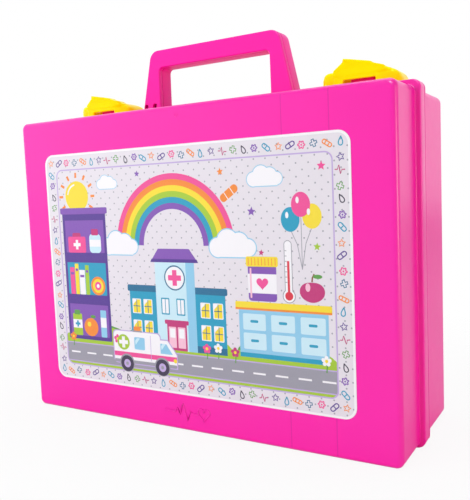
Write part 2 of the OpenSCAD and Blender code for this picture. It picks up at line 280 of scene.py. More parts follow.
def outward(outline):
    """Unit normals of a closed anticlockwise outline, from its neighbouring points."""
    along = np.roll(outline, -1, 0) - np.roll(outline, 1, 0)
    along /= np.linalg.norm(along, axis=1, keepdims=True) + 1e-12
    return np.column_stack([along[:, 1], -along[:, 0]])


def soft_slab(outline, start, end, edge, n=4):
    """A plate: a flat outline carried from start to end, its two rims rounded by edge.
    The loops shrink along the outline's normals as the quarter circle turns inwards."""
    s, c = quarter(n)
    normals = outward(outline)
    inset = np.concatenate([[edge * 1.4], edge * (1 - s), edge * (1 - s[::-1]), [edge * 1.4]])
    depth = np.concatenate([[start], start + edge * c, end - edge * c[::-1], [end]])
    return [(outline - i * normals, d) for i, d in zip(inset, depth)]


def block(low, high, r, edge, axis):
    """A moulded block with round corners (r) and round rims (edge), carried along an axis."""
    low, high = np.asarray(low, float), np.asarray(high, float)
    u, v = [k for k in range(3) if k != axis]
    middle = (low + high) / 2
    flat = rounded_outline((high[u] - low[u]) / 2, low[v] - middle[v], high[v] - middle[v], r, n=4)
    loops = []
    for outline, depth in soft_slab(flat, low[axis], high[axis], edge, n=3):
        loop = np.empty((len(outline), 3))
        loop[:, u] = outline[:, 0] + middle[u]
        loop[:, v] = outline[:, 1] + middle[v]
        loop[:, axis] = depth
        loops.append(loop)
    return skin(loops)


def turned(profile, centre, n=40):
    """A closed profile of (x, radius) turned round a line along X through the centre (y, z)."""
    profile = np.asarray(profile, float)
    turn = np.linspace(0, 2 * math.pi, n, endpoint=False)
    radius = profile[:, 1][:, None]
    points = np.stack([np.repeat(profile[:, 0][:, None], n, 1),
                       centre[0] + radius * np.cos(turn),
                       centre[1] + radius * np.sin(turn)], axis=-1)
    points = np.concatenate([points, points[:1]])
    return points.reshape(-1, 3), grid_faces(len(profile) + 1, n)


def surface_net(field, low, step):
    """The surface where a field sampled on a box of points is zero: one vertex in each cell that
    it crosses, at the mean of its edge crossings, and one quad round each crossed edge."""
    shape = np.array(field.shape) - 1
    total, hits = np.zeros(tuple(shape) + (3,)), np.zeros(tuple(shape))
    place = np.stack(np.meshgrid(*[np.arange(k) for k in field.shape], indexing="ij"), -1)
    crossings = []
    for axis in range(3):
        here = [slice(None)] * 3
        there = [slice(None)] * 3
        here[axis], there[axis] = slice(None, -1), slice(1, None)
        a, b = field[tuple(here)], field[tuple(there)]
        crossed = (a < 0) != (b < 0)
        share = np.where(crossed, a / np.where(crossed, a - b, 1.0), 0.0)
        point = place[tuple(here)].astype(float)
        point[..., axis] += share
        others = [k for k in range(3) if k != axis]
        for i in (0, 1):
            for j in (0, 1):
                edge = [slice(None)] * 3
                edge[others[0]] = slice(i, i + shape[others[0]])
                edge[others[1]] = slice(j, j + shape[others[1]])
                edge = tuple(edge)
                total += point[edge] * crossed[edge][..., None]
                hits += crossed[edge]
        crossings.append((axis, others, crossed, a < 0))
    used = hits > 0
    index = np.full(used.shape, -1)
    index[used] = np.arange(used.sum())
    points = total[used] / hits[used][:, None] * step + low
    faces = []
    for axis, others, crossed, solid_first in crossings:
        inner = [slice(None)] * 3
        for k in others:
            inner[k] = slice(1, -1)
        where = np.argwhere(crossed[tuple(inner)])
        solid = solid_first[tuple(inner)][tuple(where.T)]
        where[:, others] += 1
        ring = []
        for i, j in ((1, 1), (0, 1), (0, 0), (1, 0)):
            cell = where.copy()
            cell[:, others[0]] -= i
            cell[:, others[1]] -= j
            ring.append(index[tuple(cell.T)])
        quads = np.stack(ring, -1)
        turn = solid if axis != 1 else ~solid
        quads[~turn] = quads[~turn][:, ::-1]
        faces += quads.tolist()
    return points, faces


# ---- Distance fields for the latches ----

def box_field(a, b, half_a, half_b, r):
    """Distance to a round-cornered rectangle centred on 0: outside, the length of what is left
    over beyond the corner's centre, less its radius."""
    qa, qb = np.abs(a) - half_a + r, np.abs(b) - half_b + r
    return np.hypot(np.maximum(qa, 0), np.maximum(qb, 0)) + np.minimum(np.maximum(qa, qb), 0) - r


def solid_field(p, low, high, r):
    """Distance to a box with round edges, worked out as for the rectangle, in three directions."""
    q = [np.abs(v - (lo + hi) / 2) - (hi - lo) / 2 + r for v, lo, hi in zip(p, low, high)]
    outside = np.sqrt(sum(np.maximum(v, 0) ** 2 for v in q))
    return outside + np.minimum(np.maximum.reduce(q), 0) - r


def polygon_field(a, b, outline):
    """Distance to a convex polygon, given anticlockwise: the farthest of its edge lines."""
    far = None
    for (a0, b0), (a1, b1) in zip(outline, outline[1:] + outline[:1]):
        length = math.hypot(a1 - a0, b1 - b0)
        line = ((a - a0) * (b1 - b0) - (b - b0) * (a1 - a0)) / length
        far = line if far is None else np.maximum(far, line)
    return far


def soft_max(a, b, k):
    """The larger of two fields, with the crease rounded over a width k."""
    h = np.clip(0.5 + 0.5 * (a - b) / k, 0, 1)
    return b + (a - b) * h + k * h * (1 - h)


def soft_min(a, b, k):
    """The smaller of two fields, with the crease rounded in the same way."""
    return -soft_max(-a, -b, k)


# ---- Materials ----

WHITE = (1.0, 1.0, 1.0, 1.0)


class NodeTree:
    """Short ways to add shader nodes. Each input is a plain value or another node's output."""

    def __init__(self, tree):
        self.tree = tree

    def fill(self, node, inputs):
        """Sets a node's inputs, or links them where the value is an output."""
        for key, value in inputs.items():
            if isinstance(value, bpy.types.NodeSocket):
                self.tree.links.new(value, node.inputs[key])
            else:
                node.inputs[key].default_value = value

    def add(self, kind, inputs=None, **settings):
        """A new shader node of a kind, with its inputs filled and its settings set."""
        node = self.tree.nodes.new("ShaderNode" + kind)
        for key, value in settings.items():
            setattr(node, key, value)
        self.fill(node, inputs or {})
        return node

    def maths(self, operation, a, b=0.0, clamp=False):
        """One sum of a and b, held between 0 and 1 where clamp is set."""
        return self.add("Math", {0: a, 1: b}, operation=operation, use_clamp=clamp).outputs[0]

    def mix(self, share, a, b):
        """Colour a where the share is 0, and colour b where it is 1."""
        mixed = self.add("Mix", {"Factor": share, "A": a, "B": b}, data_type="RGBA")
        return mixed.outputs["Result"]

    def remap(self, value, low, high, start=0.0, end=1.0):
        """low at start and high at end, straight between them and level beyond them."""
        inputs = {0: value, 1: start, 2: end, 3: low, 4: high}
        return self.add("MapRange", inputs).outputs[0]

    def noise(self, place, scale, detail, roughness=0.5):
        """Smooth noise from 0 to 1, with scale waves to the metre."""
        inputs = {"Vector": place, "Scale": scale, "Detail": detail, "Roughness": roughness}
        return self.add("TexNoise", inputs).outputs["Fac"]

    def bump(self, height, strength, distance, normal=None):
        """Shading as if the height, times the distance in millimetres, stood out of the surface."""
        inputs = {"Height": height, "Strength": strength, "Distance": distance * MM}
        if normal is not None:
            inputs["Normal"] = normal
        return self.add("Bump", inputs).outputs[0]


def shader(name):
    """A new material with its principled shader and its node tree."""
    material = bpy.data.materials.new(name)
    material.use_nodes = True
    return material, material.node_tree.nodes["Principled BSDF"], NodeTree(material.node_tree)


def tint(colour, factor):
    """A colour made lighter or darker by a factor, held under 1, with full alpha."""
    return tuple(min(1.0, c * factor) for c in colour[:3]) + (1.0,)


def witness_mask(tree, x, y):
    """1 along the witness lines of the flat front, falling evenly to 0 at either side."""
    half_width, skin_depth = 0.55, 0.4
    mask = None
    for line_x in WITNESS_X:
        away = tree.maths("ABSOLUTE", tree.maths("SUBTRACT", x, line_x * MM))
        share = tree.maths("DIVIDE", away, half_width * MM)
        line = tree.maths("SUBTRACT", 1.0, share, clamp=True)
        mask = line if mask is None else tree.maths("MAXIMUM", mask, line)
    on_face = tree.maths("LESS_THAN", y, (FRONT_Y + skin_depth) * MM)
    return tree.maths("MULTIPLY", mask, on_face)


def moulded_plastic(name, colour, gloss, witness=False, depth=1.5, scatter=0.06,
                    spread=(1.0, 0.45, 0.6), shine=(1.0, 1.0, 1.0), level=0.5, painted_glow=None,
                    painted_bounce=None):
    """Injection-moulded plastic. Slow noise shifts the colour a little where the melt flowed,
    finer noise varies the gloss, two bumps give the skin's slight waves and its fine grain, and
    nooks get painted shade: the colour is darkened where ambient occlusion finds them closed in.
    witness adds the front's faint lines. depth is how far light spreads below the skin, in
    millimetres, scatter and spread are how much and which colours, and shine and level are the
    colour and strength of the reflections. painted_glow is painted light, an emission that stands
    in for the light that comes through thin walls, and painted_bounce is a painted reflection,
    the orange that the latches' plastic is painted with lower down, for the pink shell's light
    thrown onto it."""
    material, principled, tree = shader(name)
    place = tree.add("TexCoord").outputs["Object"]
    x, y, z = tree.add("SeparateXYZ", {0: place}).outputs
    shade = tree.mix(tree.noise(place, 11.0, 3.0, 0.55), tint(colour, 0.955), tint(colour, 1.03))
    # Painted reflection: lower down the colour is mixed towards orange, for the pink shell's light
    # thrown onto the latch.
    if painted_bounce:
        low = tree.remap(z, 0.0, 1.0, (TOP + 15) * MM, (TOP + 5) * MM)
        shade = tree.mix(low, shade, painted_bounce + (1.0,))
    if witness:
        mask = witness_mask(tree, x, y)
        shade = tree.mix(tree.maths("MULTIPLY", mask, 0.5), shade, tint(colour, 0.55))
    # Painted shade: where ambient occlusion finds the surface closed in, the colour is mixed towards a
    # far darker tint.
    nook_shade = tree.add("AmbientOcclusion", {"Color": WHITE, "Distance": 1.6 * MM}, samples=6)
    unshaded_share = tree.remap(nook_shade.outputs["AO"], 0.45, 1.0, 0.15, 0.85)
    patches = tree.noise(place, 170.0, 4.0, 0.6)
    skin = tree.bump(tree.noise(place, 26.0, 1.0), 0.22, 0.5)
    skin = tree.bump(tree.noise(place, 2600.0, 2.0), 0.05, 0.1, skin)
    if witness:
        skin = tree.bump(tree.maths("MULTIPLY", mask, -1.0), 0.25, 0.15, skin)
    tree.fill(principled, {
        "Base Color": tree.mix(unshaded_share, tint(colour, 0.3), shade),
        "Roughness": tree.remap(patches, gloss - 0.035, gloss + 0.045),
        "Normal": skin,
        "IOR": 1.5,
        "Specular IOR Level": level,
        "Specular Tint": shine + (1.0,),
        "Subsurface Weight": scatter,
        "Subsurface Radius": spread,
        "Subsurface Scale": depth * MM,
    })
    # Painted light: the plastic glows with an emission that stands in for light through thin walls.
    if painted_glow:
        tree.fill(principled, {"Emission Color": painted_glow + (1.0,), "Emission Strength": 1.0})
    return material


def drawn_wire(name, colour):
    """Steel wire: bright metal with fine scratches drawn out along X."""
    material, principled, tree = shader(name)
    place = tree.add("TexCoord").outputs["Object"]
    along = tree.add("Mapping", {"Vector": place, "Scale": (60.0, 2600.0, 2600.0)}).outputs[0]
    scratch = tree.noise(along, 1.0, 3.0)
    tree.fill(principled, {
        "Base Color": tree.mix(scratch, tint(colour, 0.85), tint(colour, 1.0)),
        "Roughness": tree.remap(scratch, 0.2, 0.42),
        "Normal": tree.bump(scratch, 0.15, 0.05),
        "Metallic": 1.0,
    })
    return material


def coated(tree, place):
    """Gloss of a laminated print: an even clear skin with very slight waves."""
    return {
        "Normal": tree.bump(tree.noise(place, 55.0, 2.0), 0.1, 0.3),
        "Roughness": 0.38,
        "Coat Weight": 0.1,
        "Coat Roughness": 0.12,
    }


def printed_sheet(name, paper, dot):
    """The label's bare sheet: pale coated paper with a slanting grid of small grey dots, inked
    where the distance to the middle of a grid cell is less than a dot's radius."""
    material, principled, tree = shader(name)
    place = tree.add("TexCoord").outputs["Object"]
    grid = tree.add("Mapping", {"Vector": place, "Rotation": (0.0, math.radians(45), 0.0),
                                "Scale": (1 / (DOT_PITCH * MM),) * 3})
    split = tree.add("SeparateXYZ", {0: grid.outputs[0]}).outputs
    across, up = [tree.maths("SUBTRACT", tree.maths("FRACT", split[k]), 0.5) for k in (0, 2)]
    squares = [tree.maths("MULTIPLY", k, k) for k in (across, up)]
    away = tree.maths("SQRT", tree.maths("ADD", *squares))
    inked = tree.maths("LESS_THAN", away, DOT_R)
    sheet = tree.mix(tree.noise(place, 90.0, 4.0), tint(paper, 0.975), tint(paper, 1.0))
    tree.fill(principled, {"Base Color": tree.mix(inked, sheet, tuple(dot) + (1.0,)),
                           **coated(tree, place)})
    return material


def printing_ink(name):
    """The print: each shape's ink is stored on its face; fine noise breaks up the solid areas."""
    material, principled, tree = shader(name)
    place = tree.add("TexCoord").outputs["Object"]
    ink = tree.add("Attribute", attribute_name="ink").outputs["Color"]
    speckle = tree.maths("MULTIPLY", tree.noise(place, 900.0, 3.0), 0.03)
    tree.fill(principled, {"Base Color": tree.mix(speckle, ink, (0.9, 0.9, 0.92, 1.0)),
                           **coated(tree, place)})
    return material


# ---- Shells ----

def hinge_room(loop, inside):
    """Lifts the lower side of a loop clear of the hinge. Outside, points near the seam rise to the
    channel's roof, or at its ends to a slope that starts at the axis; inside, to the rail's top."""
    away = np.abs(loop[:, 1] - SEAM_Y)
    if inside:
        floor = np.where(away < RAIL_D, RAIL_TOP, 0.0)
    else:
        slope = AXIS_Z * (1 - away / CHANNEL_D)
        roof = np.where(away < CHANNEL_D, CHANNEL_TOP, 0.0)
        floor = np.where(np.abs(loop[:, 0]) < CHANNEL_HALF_W, roof, slope)
    loop[:, 2] = np.maximum(loop[:, 2], floor)
    return loop


def shell_rows(face, mirror, rim_d, edge):
    """The section through one half's wall as rows of rim share, inset, depth and whether the row
    is inside: from the middle of the face, over the round edge, along the wall, round the rim,
    across the seam face and back inside. The round parts are quarter circles."""
    s, c = quarter(8)
    s4, c4 = quarter(4)
    seam = SEAM_Y - mirror * HALF_GAP
    rim = SEAM_Y - mirror * rim_d
    lip = min(RIM_LIP, rim_d * THIN_RIM_LIP)
    inner_edge = edge - WALL
    channel = [SEAM_Y - mirror * (CHANNEL_D + step) for step in (STEP, -STEP)]
    rows = [(0, FACE_INSET, face, False), (0, edge + FLAT, face, False)]
    rows += [(0, edge * (1 - a), face + mirror * edge * b, False) for a, b in zip(s, c)]
    rows += [(0, 0, face + mirror * (edge + FLAT), False)]
    rows += [(0, 0, y, False) for y in channel if (rim - y) * mirror > 0]
    rows += [(0, 0, rim - mirror * (RIM_ROOT + FLAT), False)]
    rows += [(RIM_ROOT * b / RIM_OUT, 0, rim - mirror * RIM_ROOT * (1 - a), False)
             for a, b in zip(s4, c4)]
    rows += [(1 - lip * (1 - a) / RIM_OUT, 0, rim + mirror * lip * b, False) for a, b in zip(s4, c4)]
    rows += [(1, 0, y, False) for y in channel if (y - rim) * mirror > lip]
    rows += [(1, SEAM_SOFT * b, seam - mirror * SEAM_SOFT * (1 - a), False) for a, b in zip(s4, c4)]
    rows += [(0, WALL - SEAM_SOFT * (1 - a), seam - mirror * SEAM_SOFT * b, True)
             for a, b in zip(s4, c4)]
    rows += [(0, WALL, SEAM_Y - mirror * (RAIL_D + step), True) for step in (-STEP, STEP)]
    rows += [(0, WALL + inner_edge * (1 - a), face + mirror * (WALL + inner_edge * b), True)
             for a, b in zip(s4[::-1], c4[::-1])]
    rows += [(0, WALL + FLOOR_INSET, face + mirror * WALL, True)]
    return rows


def shell_loops(face, mirror, rim_d, edge, notches=()):
    """One half of the case as a stack of loops. Each loop is the case's outline moved out by a
    share of the rim, or in by an inset. mirror is 1 for the front half, whose face looks to -Y,
    and -1 for the rear half. notches are gaps in the upper rim, in X."""
    low_marks = tuple(sign * (CHANNEL_HALF_W + step) for sign in (-1, 1) for step in (-STEP, STEP))
    high_marks = tuple(x + step for gap in notches for x in gap for step in (-STEP, STEP))
    loops = []
    for share, inset, y, inside in shell_rows(face, mirror, rim_d, edge):
        r = max(CORNER_R - inset, LEAST_R)
        outline = rounded_outline(HALF_W + RIM_OUT * share - inset, inset,
                                  TOP + RIM_OUT * share - inset, r, low_marks, high_marks)
        loop = hinge_room(upright(outline, y), inside)
        for x0, x1 in notches:
            gap = (loop[:, 0] > x0) & (loop[:, 0] < x1)
            loop[gap, 2] = np.minimum(loop[gap, 2], TOP)
        loops.append(loop)
    return loops


def add_knuckles(parts, mirror, numbers):
    """Round knuckles with a bore and chamfered ends, each on a web to the channel's wall."""
    length = KNUCKLES * KNUCKLE_L + (KNUCKLES - 1) * KNUCKLE_GAP
    e, flat = KNUCKLE_CHAMFER, 1.0
    for x in HINGES_X:
        for i in numbers:
            x0 = x - length / 2 + i * (KNUCKLE_L + KNUCKLE_GAP)
            x1 = x0 + KNUCKLE_L
            profile = [(x0, BORE_R), (x0, KNUCKLE_R - e), (x0 + e, KNUCKLE_R),
                       (x0 + flat, KNUCKLE_R), (x1 - flat, KNUCKLE_R),
                       (x1 - e, KNUCKLE_R), (x1, KNUCKLE_R - e), (x1, BORE_R)]
            parts.add(*turned(profile, (SEAM_Y, AXIS_Z)))
            near, far = SEAM_Y - mirror * WEB_BACK, SEAM_Y - mirror * (CHANNEL_D + BOND)
            parts.add(*block((x0 + 0.1, min(near, far), AXIS_Z - WEB_LOW),
                             (x1 - 0.1, max(near, far), CHANNEL_TOP + BOND), 0.4, 0.3, 0))


def ridge(parts, path, width, height):
    """A raised line on the front face along a path of (x, z): a flat-topped section with sloping
    sides, carried along the path square to it."""
    path = np.asarray(path, float)
    along = np.gradient(path, axis=0)
    along /= np.linalg.norm(along, axis=1, keepdims=True)
    side = np.column_stack([-along[:, 1], along[:, 0]]) * width / 2
    section = ((-1, 0.1), (-0.6, -height), (0.6, -height), (1, 0.1))
    parts.add(*skin(np.stack([upright(path + side * s, FRONT_Y + y) for s, y in section], 1)))


def heart_curve(turn):
    """The heart curve as (x, z), 16 wide to each side: x is 16 sin^3, and z is 13 cos with the
    cosines of two, three and four times the turn taken off 5, 2 and 1 times."""
    return np.column_stack([16 * np.sin(turn) ** 3, 13 * np.cos(turn) - 5 * np.cos(2 * turn)
                            - 2 * np.cos(3 * turn) - np.cos(4 * turn)])


def add_marks(parts):
    """Moulded relief on the front: a pulse line that runs into a heart under the label, and the
    small ring above it where the plastic was let into the mould."""
    beat = [(-19, 0), (-10, 0), (-8, 2.4), (-6, -1.6), (-3.2, 6), (0.2, -5.6), (2.8, 1.6), (4.4, 0),
            (9, 0)]
    ridge(parts, np.array(beat) + EMBOSS, 1.5, EMBOSS_H)
    turn = np.linspace(0, 2 * math.pi, 41) + math.pi
    ridge(parts, heart_curve(turn) * 0.3 + EMBOSS + [13.8, 0.6], 1.4, EMBOSS_H)
    ridge(parts, np.column_stack([np.cos(turn), np.sin(turn)]) * 1.2 + GATE, 0.7, GATE_H)


def build_front_shell(sizes, plastic):
    """The front half, with its ribs inside, its marks and its three knuckles on each hinge."""
    parts = Parts()
    parts.add(*skin(shell_loops(FRONT_Y, 1, FRONT_RIM_D, sizes.edge_radius / MM)))
    inner_face = FRONT_Y + WALL
    for x in RIBS_X:
        parts.add(*block((x - RIB_HALF_T, inner_face - RIB_SINK, WALL + CORNER_R),
                         (x + RIB_HALF_T, inner_face + RIB_H, TOP - WALL - CORNER_R), 0.5, 0.3, 2))
    add_marks(parts)
    add_knuckles(parts, 1, (0, 2, 4))
    piece = make_piece("front_half", *parts.all(), "lid", "shell", plastic)
    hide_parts("front_shell")


def lip_path(inset):
    """The lip's way from the left side over the top to the right side, as (x, z): the case's
    outline, drawn in, without its lower side."""
    outline = rounded_outline(HALF_W - inset, inset, TOP - inset, CORNER_R - inset)
    keep = outline[outline[:, 1] > LIP_START + 5]
    keep = np.roll(keep, -int(np.argmax(keep[:, 0])), 0)
    return np.vstack([[[HALF_W - inset, LIP_START]], keep, [[inset - HALF_W, LIP_START]]])


def add_lip(parts):
    """The lip that guides the front shell: a thin section with chamfered front edges, carried
    along the lip's path."""
    outer, inner = lip_path(WALL + PLAY), lip_path(WALL + PLAY + LIP_T)
    y0, y1, e = SEAM_Y - LIP_REACH, SEAM_Y + REAR_RIM_D, LIP_EDGE
    section = [(outer, e, y0), (outer, 0, y0 + e), (outer, 0, y1), (inner, 0, y1),
               (inner, 0, y0 + e), (inner, -e, y0)]
    across = (inner - outer) / np.linalg.norm(inner - outer, axis=1, keepdims=True)
    parts.add(*skin(np.stack([upright(path + across * move, y) for path, move, y in section], 1)))


def add_latch_seat(parts, x):
    """Two lugs with round tops for a latch's pin, and the block that the closed latch snaps onto."""
    pin_y, pin_z = SEAM_Y + LATCH_PIN[0], TOP + LATCH_PIN[1]
    turn = np.linspace(0, math.pi, 25)
    ear = np.column_stack([pin_y + LUG_R * np.cos(turn), pin_z + LUG_R * np.sin(turn)])
    ear = np.vstack([ear, [[pin_y - LUG_R, TOP - BOND], [pin_y + LUG_R, TOP - BOND]]])
    for side in (-LUG_X, LUG_X):
        slab = soft_slab(ear, x + side - LUG_HALF_T, x + side + LUG_HALF_T, 0.3)
        parts.add(*skin([np.column_stack([np.full(len(o), d), o[:, 0], o[:, 1]]) for o, d in slab]))
    parts.add(*block((x - KEEPER_HALF_W, SEAM_Y + KEEPER_Y[0], TOP - BOND),
                     (x + KEEPER_HALF_W, SEAM_Y + KEEPER_Y[1], TOP + KEEPER_H), 0.8, 0.5, 2))


def build_rear_shell(sizes, plastic):
    """The rear half, with its lip, its seats for the latches and two knuckles on each hinge."""
    parts = Parts()
    legs = ((GRIP_HALF - PLAY, HANDLE_BASE + PLAY), (-HANDLE_BASE - PLAY, PLAY - GRIP_HALF))
    parts.add(*skin(shell_loops(BACK_Y, -1, REAR_RIM_D, sizes.edge_radius / MM, legs)))
    add_lip(parts)
    for x in LATCHES_X:
        add_latch_seat(parts, x)
    add_knuckles(parts, -1, (1, 3))
    piece = make_piece("rear_half", *parts.all(), "case", "shell", plastic)
    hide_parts("rear_shell")


# ---- Handle ----

def handle_paths(outer_r, inner_r):
    """The handle's outer and inner line as (x, z), from the left foot over the bar to the right
    foot, point for point: a leg, a corner, half the bar, and the same mirrored."""
    height = HANDLE_HIGH[2] - TOP
    slant = (HANDLE_BASE - HANDLE_TOP) / height
    slope = math.hypot(1, slant)
    cz = HANDLE_HIGH[2] - outer_r
    cx = HANDLE_BASE - slant * (cz - TOP) - outer_r * slope
    n = 10
    turn = np.linspace(math.atan(slant), math.pi / 2, n + 1)
    outer_corner = np.column_stack([cx + outer_r * np.cos(turn), cz + outer_r * np.sin(turn)])
    bar_low = HANDLE_HIGH[2] - BAR
    turn = np.linspace(0, math.pi / 2, n + 1)
    inner_corner = np.column_stack([GRIP_HALF - inner_r + inner_r * np.cos(turn),
                                    bar_low - inner_r + inner_r * np.sin(turn)])
    share = np.array([0, 0.5, 0.93])[:, None]
    outer_leg = np.array([HANDLE_BASE, TOP]) * (1 - share) + outer_corner[0] * share
    inner_leg = np.array([GRIP_HALF, TOP]) * (1 - share) + inner_corner[0] * share
    share = np.array([0.05, 0.5, 0.95, 1.0])[:, None]
    outer_bar = outer_corner[-1] * (1 - share) + np.array([0, HANDLE_HIGH[2]]) * share
    inner_bar = inner_corner[-1] * (1 - share) + np.array([0, bar_low]) * share
    paths = []
    for stretches in ((outer_leg, outer_corner, outer_bar), (inner_leg, inner_corner, inner_bar)):
        right = np.vstack(stretches)
        left = right[:-1][::-1] * [-1, 1]
        paths.append(np.vstack([right, left]))
    return paths


def handle_half(y0, y1, front_edge, back_edge):
    """One half of the handle: a section between the outer and inner line, with round edges at its
    front and back, carried along both lines at once."""
    flat = 0.6
    outer, inner = handle_paths(*HANDLE_ROUNDS)
    width = np.linalg.norm(inner - outer, axis=1, keepdims=True)
    across = (inner - outer) / width
    s, c = quarter(5)
    ring = [(0, front_edge + flat, y0)]
    ring += [(0, front_edge * (1 - a), y0 + front_edge * b) for a, b in zip(s, c)]
    ring += [(0, back_edge * (1 - a), y1 - back_edge * b) for a, b in zip(s[::-1], c[::-1])]
    ring += [(0, back_edge + flat, y1)]
    ring += [(1, d, y) for _, d, y in ring[::-1]]
    loops = []
    for side, d, y in ring:
        path = outer + across * d if side == 0 else inner - across * d
        loops.append(upright(path, y))
    return skin(np.stack(loops, 1))


def carve(piece, cutters):
    """Cuts closed surfaces out of a piece and keeps the result as its mesh."""
    mesh = bpy.data.meshes.new("cutter")
    points, faces = cutters.all()
    mesh.from_pydata((points * MM).tolist(), [], faces)
    bm = bmesh.new()
    bm.from_mesh(mesh)
    bmesh.ops.recalc_face_normals(bm, faces=bm.faces)
    bm.to_mesh(mesh)
    bm.free()
    tool = bpy.data.objects.new("cutter", mesh)
    bpy.context.scene.collection.objects.link(tool)
    cut = piece.modifiers.new("cut", "BOOLEAN")
    cut.operation, cut.solver, cut.object = "DIFFERENCE", "EXACT", tool
    graph = bpy.context.evaluated_depsgraph_get()
    result = bpy.data.meshes.new_from_object(piece.evaluated_get(graph))
    piece.modifiers.clear()
    piece.data = result
    bpy.data.objects.remove(tool)
    result.shade_smooth()
    result.set_sharp_from_angle(angle=math.radians(CRISP))


def circle(x, z, r, n=28):
    """n points round a circle, as (x, z)."""
    turn = np.linspace(0, 2 * math.pi, n, endpoint=False)
    return np.column_stack([x + r * np.cos(turn), z + r * np.sin(turn)])


def build_handle(sizes, plastic):
    """The thin front half with its peg holes, and the deeper back half with its pegs and with two
    barbed feet through the shell's top."""
    front = SEAM_Y + PLAY
    split = front + HANDLE_FRONT_D
    rear = front + HANDLE_D
    bevel = sizes.handle_bevel / MM
    parts = Parts()
    parts.add(*handle_half(front, split - HALF_GROOVE, bevel, GROOVE_EDGE))
    face = make_piece("handle_face", *parts.all(), "case", "shell", plastic)
    holes = Parts()
    for x, z in PEGS:
        hole = circle(x, z, PEG_HOLE_R)
        holes.add(*skin([upright(hole, front - 1), upright(hole, split - PEG_FLOOR)]))
    carve(face, holes)
    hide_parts("handle_front")

    parts = Parts()
    parts.add(*handle_half(split + HALF_GROOVE, rear, GROOVE_EDGE, bevel * BACK_SOFTER))
    for x, z in PEGS:
        peg = soft_slab(circle(x, z, PEG_R), front + PEG_SUNK, split + 1, 0.2, n=2)
        parts.add(*skin([upright(o, d) for o, d in peg]))
    foot_low = TOP - WALL - PLAY - BARB_H
    for x in (-FOOT_X, FOOT_X):
        for half, top, edge in ((FOOT_HALF_W, TOP + 0.4, 0.3),
                                (FOOT_HALF_W + BARB, foot_low + BARB_H, 0.4)):
            parts.add(*block((x - half, split + 1, foot_low), (x + half, rear - 2, top), 0.6, edge, 2))
    back = make_piece("handle_body", *parts.all(), "case", "shell", plastic)
    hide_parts("handle_back")


# ---- Latches ----

def latch_field(x, y, z):
    """The latch as a distance field: a round-cornered hood, its front plate and the finger tab,
    which leans forward and is lower at its right end, joined with soft creases; then hollowed
    out, with a window, a bore, and a tongue over the rim. x is from the latch's middle, y from
    the seam and z from the top of the shells."""
    middle, half_d = (LATCH_FRONT + LATCH_BACK) / 2, (LATCH_BACK - LATCH_FRONT) / 2
    plan = box_field(x, y - middle, LATCH_HALF_W, half_d, np.where(y < middle, 8.0, 4.0))
    side = box_field(y - middle, z - LATCH_HIGH / 2 + 2, half_d, LATCH_HIGH / 2 + 2,
                     np.where(y > middle, 8.0, 1.2))
    fall = np.interp(x, [-18.0, 5.0, 17.5, 21.0, 28.0], [0.0, 0.3, 1.4, 1.9, 2.1])
    ends = box_field(x, z + fall - LATCH_HIGH / 2 + 6, LATCH_HALF_W, LATCH_HIGH / 2 + 6,
                     np.where(x < 0, 8.0, 10.0))
    hood = soft_max(soft_max(plan, side, 2.0), ends, 2.5)
    plate_y = np.interp(x, [9.0, 20.0], [5.0, 6.3])
    plate = solid_field((x, y, z), (-17.2, plate_y, -6.0), (20.5, 9.0, 16.6), 0.45)
    plate = soft_max(plate, ends, 0.5)
    lean = polygon_field(y, z, [(5.0, 14.0), (14.0, 14.0), (8.0, TAB_HIGH), (1.0, TAB_HIGH)])
    left = np.interp(z, [14.0, 17.0, 21.2, TAB_HIGH], [17.5, 16.5, 10.0, 9.0])
    right = np.interp(z, [14.0, 17.0, 18.9, 20.0], [17.5, 16.5, 10.0, 9.0])
    roof = z - np.interp(x, [-9.0, 9.0], [TAB_HIGH, 20.0])
    tab = soft_max(np.maximum(soft_max(lean, roof, 0.9), -x - left), x - right, 1.0)
    body = soft_min(soft_min(hood, plate, 0.4), tab, 2.2)
    half_room = LATCH_HALF_W - LATCH_WALL
    low_room = solid_field((x, y, z), (-half_room, LATCH_FRONT + LATCH_WALL, -9.0),
                           (half_room, 60.0, 5.5), 0.2)
    rear_room = solid_field((x, y, z), (-half_room, 17.5, -9.0), (half_room, 60.0, 10.5), 0.2)
    room = np.minimum(np.minimum(hood + LATCH_WALL, low_room), rear_room)
    window = solid_field((x, y, z), (-11.0, 2.0, 7.0), (11.0, 9.4, 10.5), 0.4)
    body = soft_max(np.maximum(body, -room), -window, 0.5)
    tongue = solid_field((x, y, z), (-15.0, -6.0, 4.6), (15.0, 7.0, 6.4), 0.6)
    nib = solid_field((x, y, z), (-15.0, -6.0, 3.85), (15.0, -4.6, 5.4), 0.3)
    body = soft_min(np.maximum(body, 0.5 - z), np.minimum(tongue, nib), 0.4)
    from_pin = np.hypot(y - LATCH_PIN[0], z - LATCH_PIN[1])
    below_rear = np.minimum(y - LATCH_PIN[0], LATCH_PIN[1] - z)
    body = np.maximum(body, np.minimum(below_rear, from_pin - BARREL_R))
    return np.maximum(body, LATCH_BORE_R - from_pin)


def build_latches(sizes, plastic):
    """Both latches: the surface where the latch's distance field is zero."""
    step = sizes.latch_grid / MM
    low, high = np.array([-29.0, -7.0, -0.5]), np.array([29.0, 28.5, 24.5])
    axes = [np.arange(a, b + step, step) for a, b in zip(low, high)]
    x, y, z = np.meshgrid(*axes, indexing="ij")
    points, faces = surface_net(latch_field(x, y, z), low, step)
    for name, place in zip(("latch_left", "latch_right"), LATCHES_X):
        moved = points + [place, SEAM_Y, TOP]
        piece = make_piece(name + "_cover", moved, faces, name, "latch", plastic, LATCH_CRISP, 0)
        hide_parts(name)


# ---- Label ----

